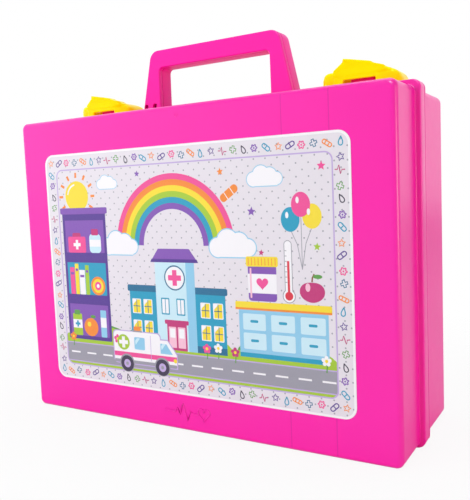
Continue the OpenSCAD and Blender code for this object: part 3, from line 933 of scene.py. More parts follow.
INKS = {
    "white": (0.86, 0.86, 0.9), "teal": (0.0, 0.31, 0.5), "deep_teal": (0.0, 0.13, 0.27),
    "sky": (0.25, 0.56, 0.78), "pale_sky": (0.55, 0.78, 0.88), "magenta": (0.5, 0.02, 0.17),
    "pink": (0.8, 0.06, 0.29), "blush": (0.86, 0.5, 0.64), "purple": (0.07, 0.02, 0.26),
    "violet": (0.2, 0.07, 0.42), "lilac": (0.5, 0.38, 0.7), "lime": (0.34, 0.55, 0.02),
    "leaf": (0.09, 0.32, 0.05), "yellow": (0.86, 0.68, 0.02), "orange": (0.84, 0.24, 0.02),
    "brown": (0.22, 0.08, 0.03), "grey": (0.3, 0.3, 0.36), "dark": (0.03, 0.02, 0.06),
    "red": (0.66, 0.02, 0.05),
}


class Print:
    """Flat printed shapes. Each drawing is made about its own origin, in millimetres with x to the
    right and z up, and set down on the label with set(). Higher layers lie in front, and a shape
    lies just in front of those that the same drawing already has in its layer."""

    def __init__(self):
        self.shapes = []
        self.set(0, 0)

    def set(self, x, z, scale=1.0, turn=0.0):
        """Where the next drawing goes: its origin from the label's middle, scale and turn."""
        c, s = math.cos(math.radians(turn)), math.sin(math.radians(turn))
        self.origin, self.matrix = np.array([x, z], float), np.array([[c, s], [-s, c]]) * scale
        self.used = {}

    def depth(self, layer):
        """A shape's place between its layer and the next, a little more for each one there."""
        self.used[layer] = self.used.get(layer, 0) + 1
        return layer + min(self.used[layer] * 0.07, 0.95)

    def shape(self, outline, ink, layer):
        """One flat shape of (x, z) points."""
        self.keep(outline, ink, self.depth(layer))

    def keep(self, outline, ink, depth):
        """Turns, scales and moves an outline to the drawing's place and stores it."""
        self.shapes.append((depth, np.asarray(outline, float) @ self.matrix + self.origin, ink))

    def all(self, front, back):
        """Points, faces and one ink for each face, with the layers spread from back to front."""
        step = (front - back) / (1 + max(depth for depth, _, _ in self.shapes))
        middle = (LABEL_LOW + LABEL_HIGH) / 2
        points = [upright(outline + middle[[0, 2]], back + step * depth)
                  for depth, outline, _ in self.shapes]
        ends = np.cumsum([len(p) for p in points])
        faces = [list(range(end - len(p), end)) for p, end in zip(points, ends)]
        return np.vstack(points), faces, [INKS[ink] for _, _, ink in self.shapes]

    def disc(self, x, z, r, ink, layer, rz=None, n=36):
        """A circle of radius r, or an ellipse that reaches rz up and down."""
        turn = np.linspace(0, 2 * math.pi, n, endpoint=False)
        self.shape(np.column_stack([x + r * np.cos(turn), z + (rz or r) * np.sin(turn)]), ink, layer)

    def box(self, x0, z0, x1, z1, ink, layer, r=0.0):
        """A rectangle between two corners, with its corners rounded by r."""
        if r > 0:
            outline = rounded_outline((x1 - x0) / 2, z0, z1, r, n=6) + [(x0 + x1) / 2, 0]
        else:
            outline = [(x0, z0), (x1, z0), (x1, z1), (x0, z1)]
        self.shape(outline, ink, layer)

    def stroke(self, path, width, ink, layer, closed=False):
        """A line of even width: the path moved to both sides along its normals."""
        path = np.asarray(path, float)
        if closed:
            path = np.vstack([path, path[:1]])
            along = np.vstack([path[1:2] - path[-2:-1], path[2:] - path[:-2], path[1:2] - path[-2:-1]])
        else:
            along = np.gradient(path, axis=0)
        along /= np.linalg.norm(along, axis=1, keepdims=True) + 1e-9
        side = np.column_stack([-along[:, 1], along[:, 0]]) * width / 2
        left, right = path + side, path - side
        depth = self.depth(layer)
        for i in range(len(path) - 1):
            self.keep([right[i], right[i + 1], left[i + 1], left[i]], ink, depth)

    def arc(self, x, z, r, start, end, width, ink, layer, n=24):
        """A stroke along part of a circle, from the start to the end angle in degrees."""
        turn = np.radians(np.linspace(start, end, n))
        self.stroke(np.column_stack([x + r * np.cos(turn), z + r * np.sin(turn)]), width, ink, layer)

    def figure(self, outline, x, z, size, ink, layer, line):
        """A closed outline of unit size, filled, or drawn as a line of the given width."""
        moved = np.asarray(outline, float) * size + [x, z]
        if line:
            self.stroke(moved, line, ink, layer, closed=True)
        else:
            self.shape(moved, ink, layer)

    def heart(self, x, z, size, ink, layer, line=0.0):
        """The heart curve, its size to each side."""
        t = np.linspace(0, 2 * math.pi, 40, endpoint=False)
        self.figure(heart_curve(t) / 16, x, z, size, ink, layer, line)

    def star(self, x, z, size, ink, layer, line=0.0):
        """Five points: ten corners at even angles, every second one nearer the middle."""
        t = np.arange(10) * math.pi / 5 + math.pi / 2
        r = np.where(np.arange(10) % 2 == 0, 1.0, 0.45)
        self.figure(np.column_stack([r * np.cos(t), r * np.sin(t)]), x, z, size, ink, layer, line)

    def plus(self, x, z, size, ink, layer, line=0.0):
        """Four equal arms, each about two thirds as wide as it is long from the middle."""
        a = 0.34
        self.figure([(a, -1), (a, -a), (1, -a), (1, a), (a, a), (a, 1), (-a, 1), (-a, a), (-1, a),
                     (-1, -a), (-a, -a), (-a, -1)], x, z, size, ink, layer, line)

    def drop(self, x, z, size, ink, layer, line=0.0):
        """A drop: a circle's height, its width drawn in towards the top by a half-angle sine."""
        t = np.linspace(0, 2 * math.pi, 28, endpoint=False)
        self.figure(np.column_stack([0.72 * np.sin(t) * np.sin(t / 2) ** 1.4, np.cos(t)]),
                    x, z, size, ink, layer, line)

    def capsule(self, x, z, size, ink, layer, line=0.0):
        """A round-ended strip with a line across its middle."""
        self.figure(rounded_outline(1.0, -0.42, 0.42, 0.41, n=8), x, z, size, ink, layer, line)
        if line:
            self.stroke([(x, z - 0.42 * size), (x, z + 0.42 * size)], line, ink, layer)

    def plaster(self, x, z, size, ink, layer, line=0.0):
        """A sticking plaster: a long round-ended strip with a square pad."""
        self.figure(rounded_outline(1.0, -0.36, 0.36, 0.34, n=8), x, z, size, ink, layer, line)
        for side in (-0.36, 0.36):
            self.stroke([(x + side * size, z - 0.36 * size), (x + side * size, z + 0.36 * size)],
                        line or 0.5, ink if line else "white", layer)

    def pulse(self, x, z, size, ink, layer, line=0.0):
        """A level line with one beat, up and down."""
        path = np.array([(-1, 0), (-0.5, 0), (-0.25, 0.8), (0.15, -0.8), (0.4, 0), (1, 0)])
        self.stroke(path * size + [x, z], line or 0.8, ink, layer)

    def bloom(self, x, z, size, ink, layer, line=0.0):
        """A round flower outline with six petals."""
        t = np.linspace(0, 2 * math.pi, 48, endpoint=False)
        r = 0.8 + 0.2 * np.cos(6 * t)
        self.figure(np.column_stack([r * np.cos(t), r * np.sin(t)]), x, z, size, ink, layer, line)
        self.disc(x, z, 0.25 * size, ink, layer, n=12)


def border_motifs(p):
    """A band of small outlined motifs along all four sides, taken in turn."""
    kinds = (("capsule", "purple", 3.1, 35), ("bloom", "pink", 2.4, 0), ("plus", "deep_teal", 2.2, 12),
             ("plaster", "orange", 3.2, -28), ("drop", "teal", 2.6, 0), ("star", "purple", 2.5, 8),
             ("pulse", "magenta", 3.2, 0), ("plus", "leaf", 2.2, -14), ("drop", "dark", 2.6, 20),
             ("bloom", "violet", 2.3, 10), ("capsule", "teal", 3.0, -40), ("star", "orange", 2.4, -8))
    places = [(x, 79.2) for x in np.linspace(-108, 116, 29)]
    places += [(116, z) for z in np.linspace(71, -71, 18)]
    places += [(x, -79.2) for x in np.linspace(116, -108, 29)]
    places += [(-116, z) for z in np.linspace(-79, 79, 20)]
    for i, (x, z) in enumerate(places):
        kind, ink, size, turn = kinds[i % len(kinds)]
        p.set(x + 0.5 * math.sin(5 * i), z + 0.6 * math.sin(3 * i), 1.0, turn + 8 * math.sin(2 * i))
        getattr(p, kind)(0, 0, size, ink, 2, line=0.7)


def cloud(p):
    """Four discs on a flat foot, with a thin blue edge behind them."""
    for grow, ink in ((0.09, "sky"), (0.0, "white")):
        for dx, dz, r in ((-1.3, 0, 0.75), (-0.4, 0.45, 0.95), (0.6, 0.3, 0.85), (1.4, 0, 0.65)):
            p.disc(dx, dz, r + grow, ink, 2)
        p.box(-1.4, -0.72 - grow, 1.5, 0, ink, 2)


def flower(p, ink):
    """Five round petals about a yellow middle, on a short stem."""
    p.stroke([(0, -3.4), (0.2, -1.5), (0, 0)], 0.35, "leaf", 9)
    for k in range(5):
        a = math.radians(72 * k + 18)
        p.disc(math.cos(a), math.sin(a), 0.62, ink, 10, n=14)
    p.disc(0, 0, 0.5, "yellow", 11, n=14)


def sun(p):
    """A disc with a glint and twelve rays."""
    p.disc(0, 0, 12, "yellow", 2)
    p.arc(0, 0, 9.4, 100, 170, 1.2, "white", 3)
    for k in range(12):
        a = math.radians(30 * k)
        p.stroke([(14.5 * math.cos(a), 14.5 * math.sin(a)), (18.5 * math.cos(a), 18.5 * math.sin(a))],
                 1.9, "orange", 2)


def hospital(p):
    """A small hospital: a teal block with windows, a taller middle with a plus, and a door."""
    p.box(-34, 0, 34, 36, "teal", 3, 1.0)
    p.box(-34, 0, 34, 4, "deep_teal", 4)
    p.box(-35.5, 34, 35.5, 38, "deep_teal", 4, 1.0)
    p.box(-14, 0, 14, 54, "pale_sky", 5, 1.0)
    p.box(8, 0, 14, 52, "sky", 5)
    p.shape([(-17, 52), (17, 52), (11, 60), (-11, 60)], "violet", 6)
    p.shape([(-17, 52), (17, 52), (16, 54), (-16, 54)], "purple", 7)
    p.disc(0, 43, 7.4, "deep_teal", 6)
    p.disc(0, 43, 6.6, "white", 6)
    p.plus(0, 43, 4.6, "pink", 7)
    for dx in (-29, -20.5, 20.5, 29):
        for dz in (8, 21):
            p.box(dx - 3.3, dz - 0.5, dx + 3.3, dz + 8.5, "white", 4, 0.6)
            p.box(dx - 2.7, dz, dx + 2.7, dz + 8, "yellow", 5, 0.4)
            p.shape([(dx - 2.7, dz + 5), (dx - 2.7, dz + 8), (dx + 0.5, dz + 8)], "white", 6)
            p.stroke([(dx, dz), (dx, dz + 4), (dx, dz + 8)], 0.5, "deep_teal", 7)
            p.stroke([(dx - 2.7, dz + 4), (dx + 2.7, dz + 4)], 0.5, "deep_teal", 7)
    for dx in (-7.5, 3.5):
        p.box(dx - 3, 21, dx + 3, 31, "teal", 6, 0.6)
        p.box(dx - 2.3, 21.8, dx + 2.3, 30.2, "white", 7, 0.4)
        p.stroke([(dx, 21.8), (dx, 30.2)], 0.5, "teal", 8)
    p.box(-8.5, 15.5, 8.5, 18, "magenta", 7, 0.6)
    p.box(-7, 0, 7, 16, "magenta", 6, 0.6)
    for dx in (-5.9, 0.6):
        p.box(dx, 1.5, dx + 5.3, 14, "blush", 7, 0.4)
        p.box(dx + 0.8, 7.5, dx + 4.5, 13, "white", 8, 0.3)


def ambulance(p):
    """A toy ambulance seen from the side."""
    p.box(-26.7, 4.3, 14.7, 27.7, "lilac", 9, 3.2)
    p.shape([(12, 4.3), (27.8, 4.3), (27.8, 14.3), (20.4, 23.8), (12, 23.8)], "lilac", 9)
    p.box(-26, 5, 14, 27, "white", 10, 3.0)
    p.shape([(12, 5), (27, 5), (27, 14), (20, 23), (12, 23)], "white", 10)
    p.box(-26, 9.4, 27, 12.6, "pink", 11)
    p.box(-26, 5, 27, 7.2, "grey", 11, 0.8)
    p.shape([(14, 14), (24, 14), (19, 20.8), (14, 20.8)], "sky", 11)
    p.shape([(15, 16.5), (18.5, 20.8), (16, 20.8), (14.5, 19)], "pale_sky", 12)
    p.box(-8, 15, 1, 23.5, "sky", 11, 1.0)
    p.shape([(-7, 18), (-3, 22.9), (-5.5, 22.9), (-7.2, 21)], "pale_sky", 12)
    p.disc(-17.5, 19.3, 5.4, "lime", 11)
    p.plus(-17.5, 19.3, 3.9, "white", 12)
    p.stroke([(6, 8), (6, 16), (6, 25.5)], 0.4, "lilac", 12)
    p.box(-9, 27, -1, 28.4, "grey", 10, 0.4)
    p.box(-8, 28, -2, 31, "orange", 10, 1.3)
    p.disc(25.8, 10, 1.4, "yellow", 12)
    for dx in (-15, 15):
        p.disc(dx, 5, 6.4, "grey", 12)
        p.disc(dx, 4.6, 5.6, "dark", 13)
        p.disc(dx, 4.6, 2.9, "lilac", 14)
        p.disc(dx, 4.6, 1.2, "grey", 15)


def medicine(p, body, cap):
    """A jar of tablets with a ribbed cap and a heart on its paper band."""
    p.box(-11, 0, 11, 26, body, 6, 2.5)
    p.box(-12.4, 24, 12.4, 31, cap, 7, 1.5)
    for k in range(-4, 5):
        p.stroke([(2.6 * k, 25), (2.6 * k, 30)], 0.6, "orange", 8)
    p.box(-11, 5.5, 11, 19, "white", 7)
    p.heart(0, 12.6, 4.6, "pink", 8)
    p.box(-9.6, 2, -8.2, 23, "blush", 8, 0.6)


def thermometer(p):
    """A glass tube with a bulb: the white form on a grey one that is a little wider."""
    for half, bulb, ink, layer in ((3.5, 5.7, "grey", 6), (2.9, 5.0, "white", 7)):
        p.stroke([(0, 0), (0, 20), (0, 40)], 2 * half, ink, layer)
        p.disc(0, 40, half, ink, layer)
        p.disc(0, -1, bulb, ink, layer)
    p.disc(0, -1, 3.5, "red", 8)
    p.stroke([(0, 0), (0, 14), (0, 27)], 2.0, "red", 8)
    for k in range(7):
        p.stroke([(-2.8, 10 + 4.2 * k), (-1.2, 10 + 4.2 * k)], 0.6, "grey", 9)


def apple(p):
    """A circle flattened at its foot, with a stalk and a leaf."""
    t = np.linspace(0, 2 * math.pi, 40, endpoint=False)
    r = 7.5 + 0.8 * np.cos(2 * t) - 0.5 * np.sin(t) ** 5
    outline = np.column_stack([r * np.cos(t), 7 + 0.92 * r * np.sin(t)])
    p.shape(outline, "magenta", 6)
    p.disc(-2.8, 9.6, 1.6, "blush", 7, rz=2.6)
    p.stroke([(0, 13), (0.3, 15.5), (1.6, 18)], 1.0, "brown", 7)
    p.disc(3.8, 16.4, 3.0, "leaf", 7, rz=1.3)


def balloons(p):
    """Three ellipses with a glint, on strings that meet at the origin."""
    for x, z, ink in ((-8, 34, "teal"), (8, 36, "yellow"), (0, 44, "pink")):
        p.stroke([(0, 0), (0.4 * x, 0.5 * z), (x, z - 7)], 0.5, "grey", 3)
        p.disc(x, z, 7, ink, 4 if ink != "pink" else 5, rz=8.4)
        p.disc(x - 2.4, z + 3, 1.2, "white", 6, rz=2.2)


def cupboard(p):
    """A tall purple cupboard with three shelves of bottles, books, toys and fruit."""
    p.box(0, 0, 46, 104, "purple", 3, 1.5)
    p.box(-2, 102, 48, 107, "violet", 4, 1.2)
    for z, ink in ((3, "violet"), (37, "teal"), (71, "violet")):
        p.box(2.5, z, 43.5, z + 29, ink, 4, 0.8)
        p.box(2.5, z + 26, 43.5, z + 29, "purple", 5)
    p.box(5, 3, 15, 21, "lime", 6, 1.0)
    p.box(5, 9, 15, 16, "white", 7)
    p.plus(10, 12.5, 2.6, "teal", 8)
    p.box(7, 20, 13, 24, "leaf", 7, 0.8)
    p.disc(24.5, 10.5, 7.5, "orange", 6)
    p.disc(22.5, 12.8, 2.0, "yellow", 7)
    p.disc(27.0, 19.2, 2.8, "leaf", 7, rz=1.3)
    p.box(35, 3, 41, 25, "sky", 6, 0.8)
    p.box(35, 11, 41, 19, "white", 7)
    left = 5.0
    for width, height, ink in ((5, 22, "pink"), (4, 25, "yellow"), (6, 20, "white"), (4, 24, "lime")):
        p.box(left, 37, left + width, 37 + height, ink, 6, 0.5)
        p.box(left + 0.8, 31 + height, left + width - 0.8, 33 + height, "violet", 7)
        left += width + 0.5
    p.disc(34.5, 44.5, 7.5, "orange", 6)
    p.disc(34.5, 44.5, 5.6, "yellow", 7)
    p.disc(34.5, 44.5, 3.4, "pink", 8)
    p.disc(34.5, 44.5, 1.5, "white", 9)
    p.box(10, 83, 19, 87, "magenta", 6, 1.6)
    p.box(5, 71, 24, 84, "pink", 7, 1.6)
    p.plus(14.5, 77.5, 3.8, "white", 8)
    p.box(28, 71, 40, 86, "pale_sky", 6, 3.0)
    p.box(30.5, 85, 37.5, 90, "magenta", 7, 0.8)
    p.box(28, 76, 40, 81.5, "white", 7)


def table(p):
    """A sky-blue counter with drawers and a yellow top."""
    p.box(0, 0, 64, 33, "sky", 3, 0.6)
    p.box(0, 0, 64, 3, "teal", 4)
    p.box(-2.5, 32, 66.5, 37.5, "yellow", 5, 1.2)
    p.box(-2.5, 32, 66.5, 33.4, "orange", 6)
    for x in (3, 24, 45):
        for z in (5.5, 18.5):
            p.box(x, z, x + 17, z + 11, "pale_sky", 4, 1.0)
            p.box(x + 5.5, z + 5, x + 11.5, z + 6.8, "teal", 5, 0.8)


def draw_clinic(p):
    """The picture: a hospital under a rainbow, a road with an ambulance, a cupboard, a counter."""
    for x, r, rz in ((-78, 29, 9), (-10, 44, 12), (74, 32, 8)):
        p.disc(x, -50, r, "leaf", 1, rz=rz)
        p.disc(x + 4, -52, r, "lime", 1, rz=rz)
    side, road_low, road_high, kerb = 111, -71, -57.5, 0.8
    p.box(-side, -73.5, side, -50, "lime", 2, 3.0)
    p.box(-side, road_low, side, road_high, "grey", 3)
    p.box(-side, road_low - kerb, side, road_low, "lilac", 4)
    p.box(-side, road_high, side, road_high + kerb, "lilac", 4)
    for x in range(-107, 104, 16):
        p.box(x, -65, x + 9, -63.8, "white", 4)
    p.stroke(rounded_outline(side, -74, 74, 5.0, n=10), 0.9, "lilac", 8, closed=True)
    half, inset = (LABEL_HIGH - LABEL_LOW) / 2, 0.9
    edge = rounded_outline(half[0] - inset, inset - half[2], half[2] - inset, LABEL_R - inset)
    p.stroke(edge, 1.4, "white", 1, closed=True)
    for i, ink in enumerate(("pink", "orange", "yellow", "lime", "teal", "violet")):
        p.arc(-6, 18, 47 - 4 * i, 0, 180, 4.1, ink, 1, n=40)
    p.set(-92, 54, 0.95)
    sun(p)
    for x, z, k in ((-53, 17, 8.0), (41, 17, 8.5), (66, 60, 6.0), (-62, 62, 4.6)):
        p.set(x, z, k)
        cloud(p)
    p.set(-6, -55, 1.18)
    hospital(p)
    p.set(-108, -54, 0.93)
    cupboard(p)
    p.set(44, -54, 0.97)
    table(p)
    p.set(62, -17, 0.92)
    medicine(p, "violet", "yellow")
    p.set(80.5, -12, 0.78)
    thermometer(p)
    p.set(96, -16.5)
    apple(p)
    p.set(90, 4, 0.9)
    balloons(p)
    p.set(-36, -73.4, 1.06)
    ambulance(p)
    for x, z, ink in ((18, -51.5, "pink"), (27, -50.5, "white"), (40, -52, "magenta"),
                      (-104, -52.5, "orange"), (-60, -51, "pink"), (104, -51.5, "white")):
        p.set(x, z, 2.1)
        flower(p, ink)
    for x, z, k, ink in ((-70, 34, 3.0, "magenta"), (56, 40, 3.2, "violet"), (-104, 30, 2.4, "teal"),
                         (34, 66, 2.6, "orange"), (104, 66, 3.0, "pink"), (-34, 68, 2.4, "violet"),
                         (100, 18, 2.6, "lime"), (62, 14, 2.2, "magenta")):
        p.set(x, z, 1.0, 9 * math.sin(x))
        p.star(0, 0, k, ink, 3)
    p.set(40, 52, 1.0, 35)
    p.plaster(0, 0, 7.5, "orange", 3)


def build_label(sheet, ink):
    """The paper as a thin plate with a soft edge, and in front of it the print: flat shapes that
    each keep their ink's colour on their corners."""
    low, high = LABEL_LOW, LABEL_HIGH
    half_w = (high[0] - low[0]) / 2
    outline = rounded_outline(half_w, low[2], high[2], LABEL_R, n=16) + [(low[0] + high[0]) / 2, 0]
    plate = soft_slab(outline, low[1] + PAPER_DEPTH, high[1], PAPER_EDGE, n=2)
    base = make_piece("label_sheet", *skin([upright(o, d) for o, d in plate]), "lid", "label", sheet)
    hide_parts("label")

    p = Print()
    draw_clinic(p)
    border_motifs(p)

    mesh = bpy.data.meshes.new("label_print")
    points, faces, inks = p.all(*(low[1] + depth for depth in PRINT_DEPTH))
    mesh.from_pydata((points * MM).tolist(), [], faces)
    flip_to_front(mesh)
    colours = mesh.attributes.new("ink", "FLOAT_COLOR", "CORNER")
    per_corner = np.repeat(np.array([c + (1.0,) for c in inks]), [len(f) for f in faces], axis=0)
    colours.data.foreach_set("color", per_corner.astype(np.float32).ravel())
    mesh.materials.append(ink)
    print_piece = bpy.data.objects.new("label_print", mesh)
    bpy.context.scene.collection.objects.link(print_piece)
    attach(print_piece, "lid")


def flip_to_front(mesh):
    """Turns each flat face to look towards -Y."""
    bm = bmesh.new()
    bm.from_mesh(mesh)
    bmesh.ops.reverse_faces(bm, faces=[f for f in bm.faces if f.normal.y > 0])
    bm.to_mesh(mesh)
    bm.free()


# ---- Stage ----

# Name, place, what it points at, width, power, colour, and whether it is mirrored and whether it
# lights. The spark is only mirrored: it gives the bright spot on the upper corner.
MIDDLE = (0.0, 0.0, 0.12)
LIGHTS = (
    ("key", (-1.0, -1.35, 0.45), MIDDLE, 1.5, 20.0, (1.0, 0.98, 1.0), False, True),
    ("side", (1.35, -0.2, 0.13), MIDDLE, 0.5, 5.9, (1.0, 0.86, 0.59), True, True),
    ("top", (0.0, 0.2, 1.5), MIDDLE, 1.0, 6.5, (1.0, 1.0, 1.0), True, True),
    ("spark", (0.28, -0.74, 0.90), (0.15, -0.05, 0.22), 0.36, 8.0, (0.8, 0.85, 1.0), True, False),
)


def aim_camera(stage):
    """Puts the camera where the photograph was taken, with its own roll."""
    a, e, r = (math.radians(v) for v in (stage.azimuth, stage.elevation, stage.roll))
    back = np.array([math.sin(a) * math.cos(e), -math.cos(a) * math.cos(e), math.sin(e)])
    right = np.cross(-back, [0, 0, 1])
    right /= np.linalg.norm(right)
    up = np.cross(right, -back)
    x_axis = right * math.cos(r) + up * math.sin(r)
    y_axis = -right * math.sin(r) + up * math.cos(r)
    data = bpy.data.cameras.new("camera")
    data.sensor_width = 36.0
    data.lens = stage.lens
    data.clip_start, data.clip_end = 0.01, 50.0
    camera = bpy.data.objects.new("camera", data)
    bpy.context.scene.collection.objects.link(camera)
    matrix = np.eye(4)
    matrix[:3, 0], matrix[:3, 1], matrix[:3, 2] = x_axis, y_axis, back
    matrix[:3, 3] = stage.camera_place
    camera.matrix_world = Matrix(matrix.tolist())
    bpy.context.scene.camera = camera


def soft_light(name, place, target, size, power, colour, mirrored, lights):
    """A round soft light that looks from its place to the target."""
    data = bpy.data.lights.new(name, "AREA")
    data.shape = "DISK"
    data.size = size
    data.energy = power
    data.color = colour
    lamp = bpy.data.objects.new(name, data)
    bpy.context.scene.collection.objects.link(lamp)
    lamp.location = place
    lamp.visible_glossy, lamp.visible_diffuse = mirrored, lights
    way = Vector(target) - Vector(place)
    lamp.rotation_euler = way.to_track_quat("-Z", "Y").to_euler()


def floor_paint(whiteness):
    """The camera sees a thin veil of the floor over the white room, with the soft shadow, and
    farther out less of it. The floor is clear from below, so an open lid that hangs under its
    level is seen and lit, and clear to what touches it, so the underside isn't black."""
    material, principled, tree = shader("floor")
    tree.fill(principled, {"Base Color": (0.85, 0.85, 0.85, 1.0), "Roughness": 0.8,
                           "Specular IOR Level": 0.2})
    near, far, touch = 0.12, 0.42, 0.001
    path = tree.add("LightPath").outputs
    place = tree.add("TexCoord").outputs["Object"]
    away = tree.add("VectorMath", {0: place}, operation="LENGTH").outputs["Value"]
    fade = tree.remap(away, whiteness, 1.0, near, far)
    seen = tree.maths("MULTIPLY", path["Is Camera Ray"], fade)
    touching = tree.maths("LESS_THAN", path["Ray Length"], touch)
    below = tree.maths("MAXIMUM", tree.add("NewGeometry").outputs["Backfacing"], touching)
    share = tree.maths("MAXIMUM", seen, below)
    clear = tree.add("BsdfTransparent", {"Color": WHITE}).outputs[0]
    mixed = tree.add("MixShader", {0: share, 1: principled.outputs[0], 2: clear}).outputs[0]
    tree.fill(material.node_tree.nodes["Material Output"], {"Surface": mixed})
    return material


def pale_floor(stage):
    """A wide plain floor: a flat disc of three rings, turned upwards."""
    n = 96
    turn = np.linspace(0, 2 * math.pi, n, endpoint=False)
    rings = [np.column_stack([r * np.cos(turn), r * np.sin(turn), np.zeros(n)]) for r in (0.6, 1.5, 4.0)]
    faces = [face[::-1] for face in grid_faces(len(rings), n)] + [list(range(n))]
    mesh = bpy.data.meshes.new("floor")
    mesh.from_pydata(np.vstack(rings).tolist(), [], faces)
    mesh.materials.append(floor_paint(stage.floor_whiteness))
    floor = bpy.data.objects.new("floor", mesh)
    bpy.context.scene.collection.objects.link(floor)


def white_world(stage):
    """Even soft light from all round. The camera sees plain white, and glossy surfaces see a room
    that is brighter to the left and behind."""
    world = bpy.data.worlds.new("studio")
    bpy.context.scene.world = world
    world.use_nodes = True
    world.node_tree.nodes.clear()
    tree = NodeTree(world.node_tree)
    path = tree.add("LightPath").outputs
    way = tree.add("SeparateXYZ", {0: tree.add("TexCoord").outputs["Generated"]}).outputs
    left = tree.remap(way[0], stage.world_shine, stage.world_shine + stage.left_shine, -0.35, -0.9)
    behind = tree.remap(way[1], 0.0, stage.back_shine, 0.2, 0.95)
    room = tree.maths("ADD", left, behind)
    lit = tree.remap(path["Is Glossy Ray"], stage.world_light, room)
    seen = tree.maths("MAXIMUM", path["Is Camera Ray"], path["Is Transmission Ray"])
    strength = tree.remap(seen, lit, 1.0)
    background = tree.add("Background", {"Color": WHITE, "Strength": strength}).outputs[0]
    tree.add("OutputWorld", {"Surface": background})


# ---- Settings ----

class CaseSizes(PropertyGroup):
    """Sizes of the moulded details."""
    edge_radius: FloatProperty(
        name="Edge radius", description="Rounding along the edges of the front and back",
        default=0.0035, min=0.0025, max=0.005, unit="LENGTH")
    handle_bevel: FloatProperty(
        name="Handle edge", description="Rounding along the edges of the handle",
        default=0.0010, min=0.0004, max=0.0018, unit="LENGTH")
    latch_grid: FloatProperty(
        name="Latch detail", description="Spacing of the points that the latches are worked out on",
        default=0.0004, min=0.0003, max=0.001, unit="LENGTH")


class CaseColours(PropertyGroup):
    """Colours of the case, in linear light."""
    shell: FloatVectorProperty(
        name="Shells and handle", description="Colour of the pink plastic",
        default=(0.93, 0.004, 0.40), size=3, subtype="COLOR", min=0, max=1)
    latch: FloatVectorProperty(
        name="Latches", description="Colour of the yellow plastic",
        default=(0.98, 0.92, 0.001), size=3, subtype="COLOR", min=0, max=1)
    paper: FloatVectorProperty(
        name="Label", description="Colour of the bare label",
        default=(0.745, 0.715, 0.78), size=3, subtype="COLOR", min=0, max=1)
    dots: FloatVectorProperty(
        name="Label dots", description="Colour of the dots on the label",
        default=(0.36, 0.36, 0.42), size=3, subtype="COLOR", min=0, max=1)
    steel: FloatVectorProperty(
        name="Pins", description="Colour of the steel pins",
        default=(0.62, 0.62, 0.64), size=3, subtype="COLOR", min=0, max=1)
    gloss: FloatProperty(
        name="Roughness", description="Roughness of the moulded plastic",
        default=0.3, min=0.05, max=0.8, subtype="FACTOR")


class CaseStage(PropertyGroup):
    """Camera, room and floor."""
    azimuth: FloatProperty(
        name="Azimuth", description="The camera's angle round the case, in degrees", default=30.57)
    elevation: FloatProperty(
        name="Elevation", description="The camera's angle above the horizon, in degrees", default=5.20)
    roll: FloatProperty(
        name="Roll", description="The camera's turn about its own line of sight, in degrees",
        default=-2.36)
    lens: FloatProperty(
        name="Lens", description="Focal length in millimetres", default=45.967, min=10)
    camera_place: FloatVectorProperty(
        name="Camera place", description="Where the camera stands",
        default=(0.2494, -0.4061, 0.1647), size=3, subtype="TRANSLATION")
    world_light: FloatProperty(
        name="Room light", description="Strength of the even light", default=0.49, min=0)
    world_shine: FloatProperty(
        name="Room shine", description="How bright the room looks in the gloss", default=0.6, min=0)
    left_shine: FloatProperty(
        name="Left shine", description="How much brighter the room's left looks", default=1.4, min=0)
    back_shine: FloatProperty(
        name="Back shine", description="How much brighter the room's back looks", default=0.5, min=0)
    floor_whiteness: FloatProperty(
        name="Floor whiteness", description="Share of plain white in the floor as seen",
        default=0.9, min=0, max=1, subtype="FACTOR")


MATERIALS = {}


def material(name):
    """Makes each material once, on first use."""
    if name not in MATERIALS:
        colours = bpy.context.scene.case_colours
        makers = {
            "front_plastic": lambda: moulded_plastic(name, colours.shell, colours.gloss, witness=True),
            "shell_plastic": lambda: moulded_plastic(name, colours.shell, colours.gloss),
            "handle_plastic": lambda: moulded_plastic(name, colours.shell, colours.gloss + 0.1,
                                                      level=0.35),
            # The latch plastic carries painted light: an orange emission and a painted orange reflection
            # lower down.
            "latch_plastic": lambda: moulded_plastic(name, colours.latch, colours.gloss,
                                                     depth=4.0, scatter=0.45,
                                                     spread=(1.0, 0.9, 0.3), shine=(1.0, 0.9, 0.1),
                                                     painted_glow=(0.13, 0.035, 0.0), painted_bounce=(0.98, 0.66, 0.004)),
            "pin_steel": lambda: drawn_wire(name, colours.steel),
            "label_sheet": lambda: printed_sheet(name, colours.paper, colours.dots),
            "label_ink": lambda: printing_ink(name),
        }
        MATERIALS[name] = makers[name]()
    return MATERIALS[name]


# ---- Operators ----

class CASE_OT_front_shell(Operator):
    """Build the front half of the case"""
    bl_idname = "case.front_shell"
    bl_label = "Front half"
    bl_options = {"REGISTER", "UNDO"}

    def execute(self, context):
        build_front_shell(context.scene.case_sizes, material("front_plastic"))
        return {"FINISHED"}


class CASE_OT_rear_shell(Operator):
    """Build the rear half of the case, with its lip, lugs and knuckles"""
    bl_idname = "case.rear_shell"
    bl_label = "Rear half"
    bl_options = {"REGISTER", "UNDO"}

    def execute(self, context):
        build_rear_shell(context.scene.case_sizes, material("shell_plastic"))
        return {"FINISHED"}


class CASE_OT_handle(Operator):
    """Build both halves of the handle"""
    bl_idname = "case.handle"
    bl_label = "Handle"
    bl_options = {"REGISTER", "UNDO"}

    def execute(self, context):
        build_handle(context.scene.case_sizes, material("handle_plastic"))
        return {"FINISHED"}


class CASE_OT_latches(Operator):
    """Build the two latches"""
    bl_idname = "case.latches"
    bl_label = "Latches"
    bl_options = {"REGISTER", "UNDO"}

    def execute(self, context):
        build_latches(context.scene.case_sizes, material("latch_plastic"))
        return {"FINISHED"}


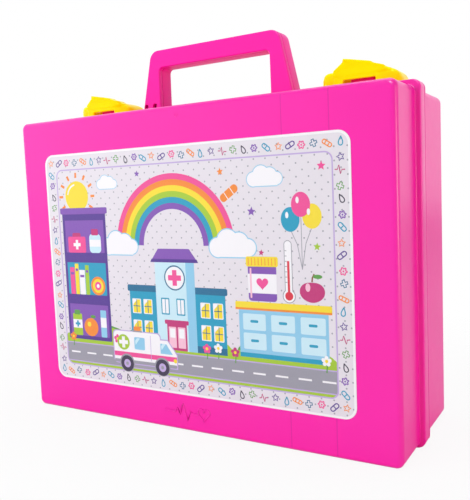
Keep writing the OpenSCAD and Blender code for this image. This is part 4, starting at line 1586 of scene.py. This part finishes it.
class CASE_OT_pins(Operator):
    """Finish the steel pins of the hinges and the latches"""
    bl_idname = "case.pins"
    bl_label = "Pins"
    bl_options = {"REGISTER", "UNDO"}

    def execute(self, context):
        for name in ("latch_pin_left", "latch_pin_right", "hinge_pin_left", "hinge_pin_right"):
            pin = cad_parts[name]
            pin.data.materials.clear()
            pin.data.materials.append(material("pin_steel"))
        return {"FINISHED"}


class CASE_OT_label(Operator):
    """Build the printed label"""
    bl_idname = "case.label"
    bl_label = "Label"
    bl_options = {"REGISTER", "UNDO"}

    def execute(self, context):
        build_label(material("label_sheet"), material("label_ink"))
        return {"FINISHED"}


class CASE_OT_stage(Operator):
    """Set up the camera, the floor and the lights"""
    bl_idname = "case.stage"
    bl_label = "Stage"
    bl_options = {"REGISTER", "UNDO"}

    def execute(self, context):
        stage = context.scene.case_stage
        aim_camera(stage)
        pale_floor(stage)
        white_world(stage)
        for light in LIGHTS:
            soft_light(*light)
        context.scene.view_settings.view_transform = "Standard"
        return {"FINISHED"}


class CASE_PT_panel(Panel):
    """The case's buttons and settings"""
    bl_label = "Toy doctor case"
    bl_idname = "CASE_PT_panel"
    bl_space_type = "VIEW_3D"
    bl_region_type = "UI"
    bl_category = "Case"

    def draw(self, context):
        layout = self.layout
        scene = context.scene
        for group in (scene.case_sizes, scene.case_colours, scene.case_stage):
            box = layout.box()
            for name in group.__annotations__:
                box.prop(group, name)
        for operator in OPERATORS:
            layout.operator(operator.bl_idname)


SETTINGS = {"case_sizes": CaseSizes, "case_colours": CaseColours, "case_stage": CaseStage}
OPERATORS = (CASE_OT_front_shell, CASE_OT_rear_shell, CASE_OT_handle, CASE_OT_latches,
             CASE_OT_pins, CASE_OT_label, CASE_OT_stage)


def register():
    """Makes the settings, the operators and the panel known to Blender."""
    for kind in (*SETTINGS.values(), *OPERATORS, CASE_PT_panel):
        bpy.utils.register_class(kind)
    for name, kind in SETTINGS.items():
        setattr(bpy.types.Scene, name, PointerProperty(type=kind))


def unregister():
    """Takes them away again, in the opposite order."""
    for name in SETTINGS:
        delattr(bpy.types.Scene, name)
    for kind in (CASE_PT_panel, *reversed(OPERATORS), *reversed(list(SETTINGS.values()))):
        bpy.utils.unregister_class(kind)


def main():
    """Builds the pieces and the stage."""
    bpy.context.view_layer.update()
    register()
    for operator in OPERATORS:
        group, name = operator.bl_idname.split(".")
        getattr(getattr(bpy.ops, group), name)()


if __name__ == "__main__":
    main()
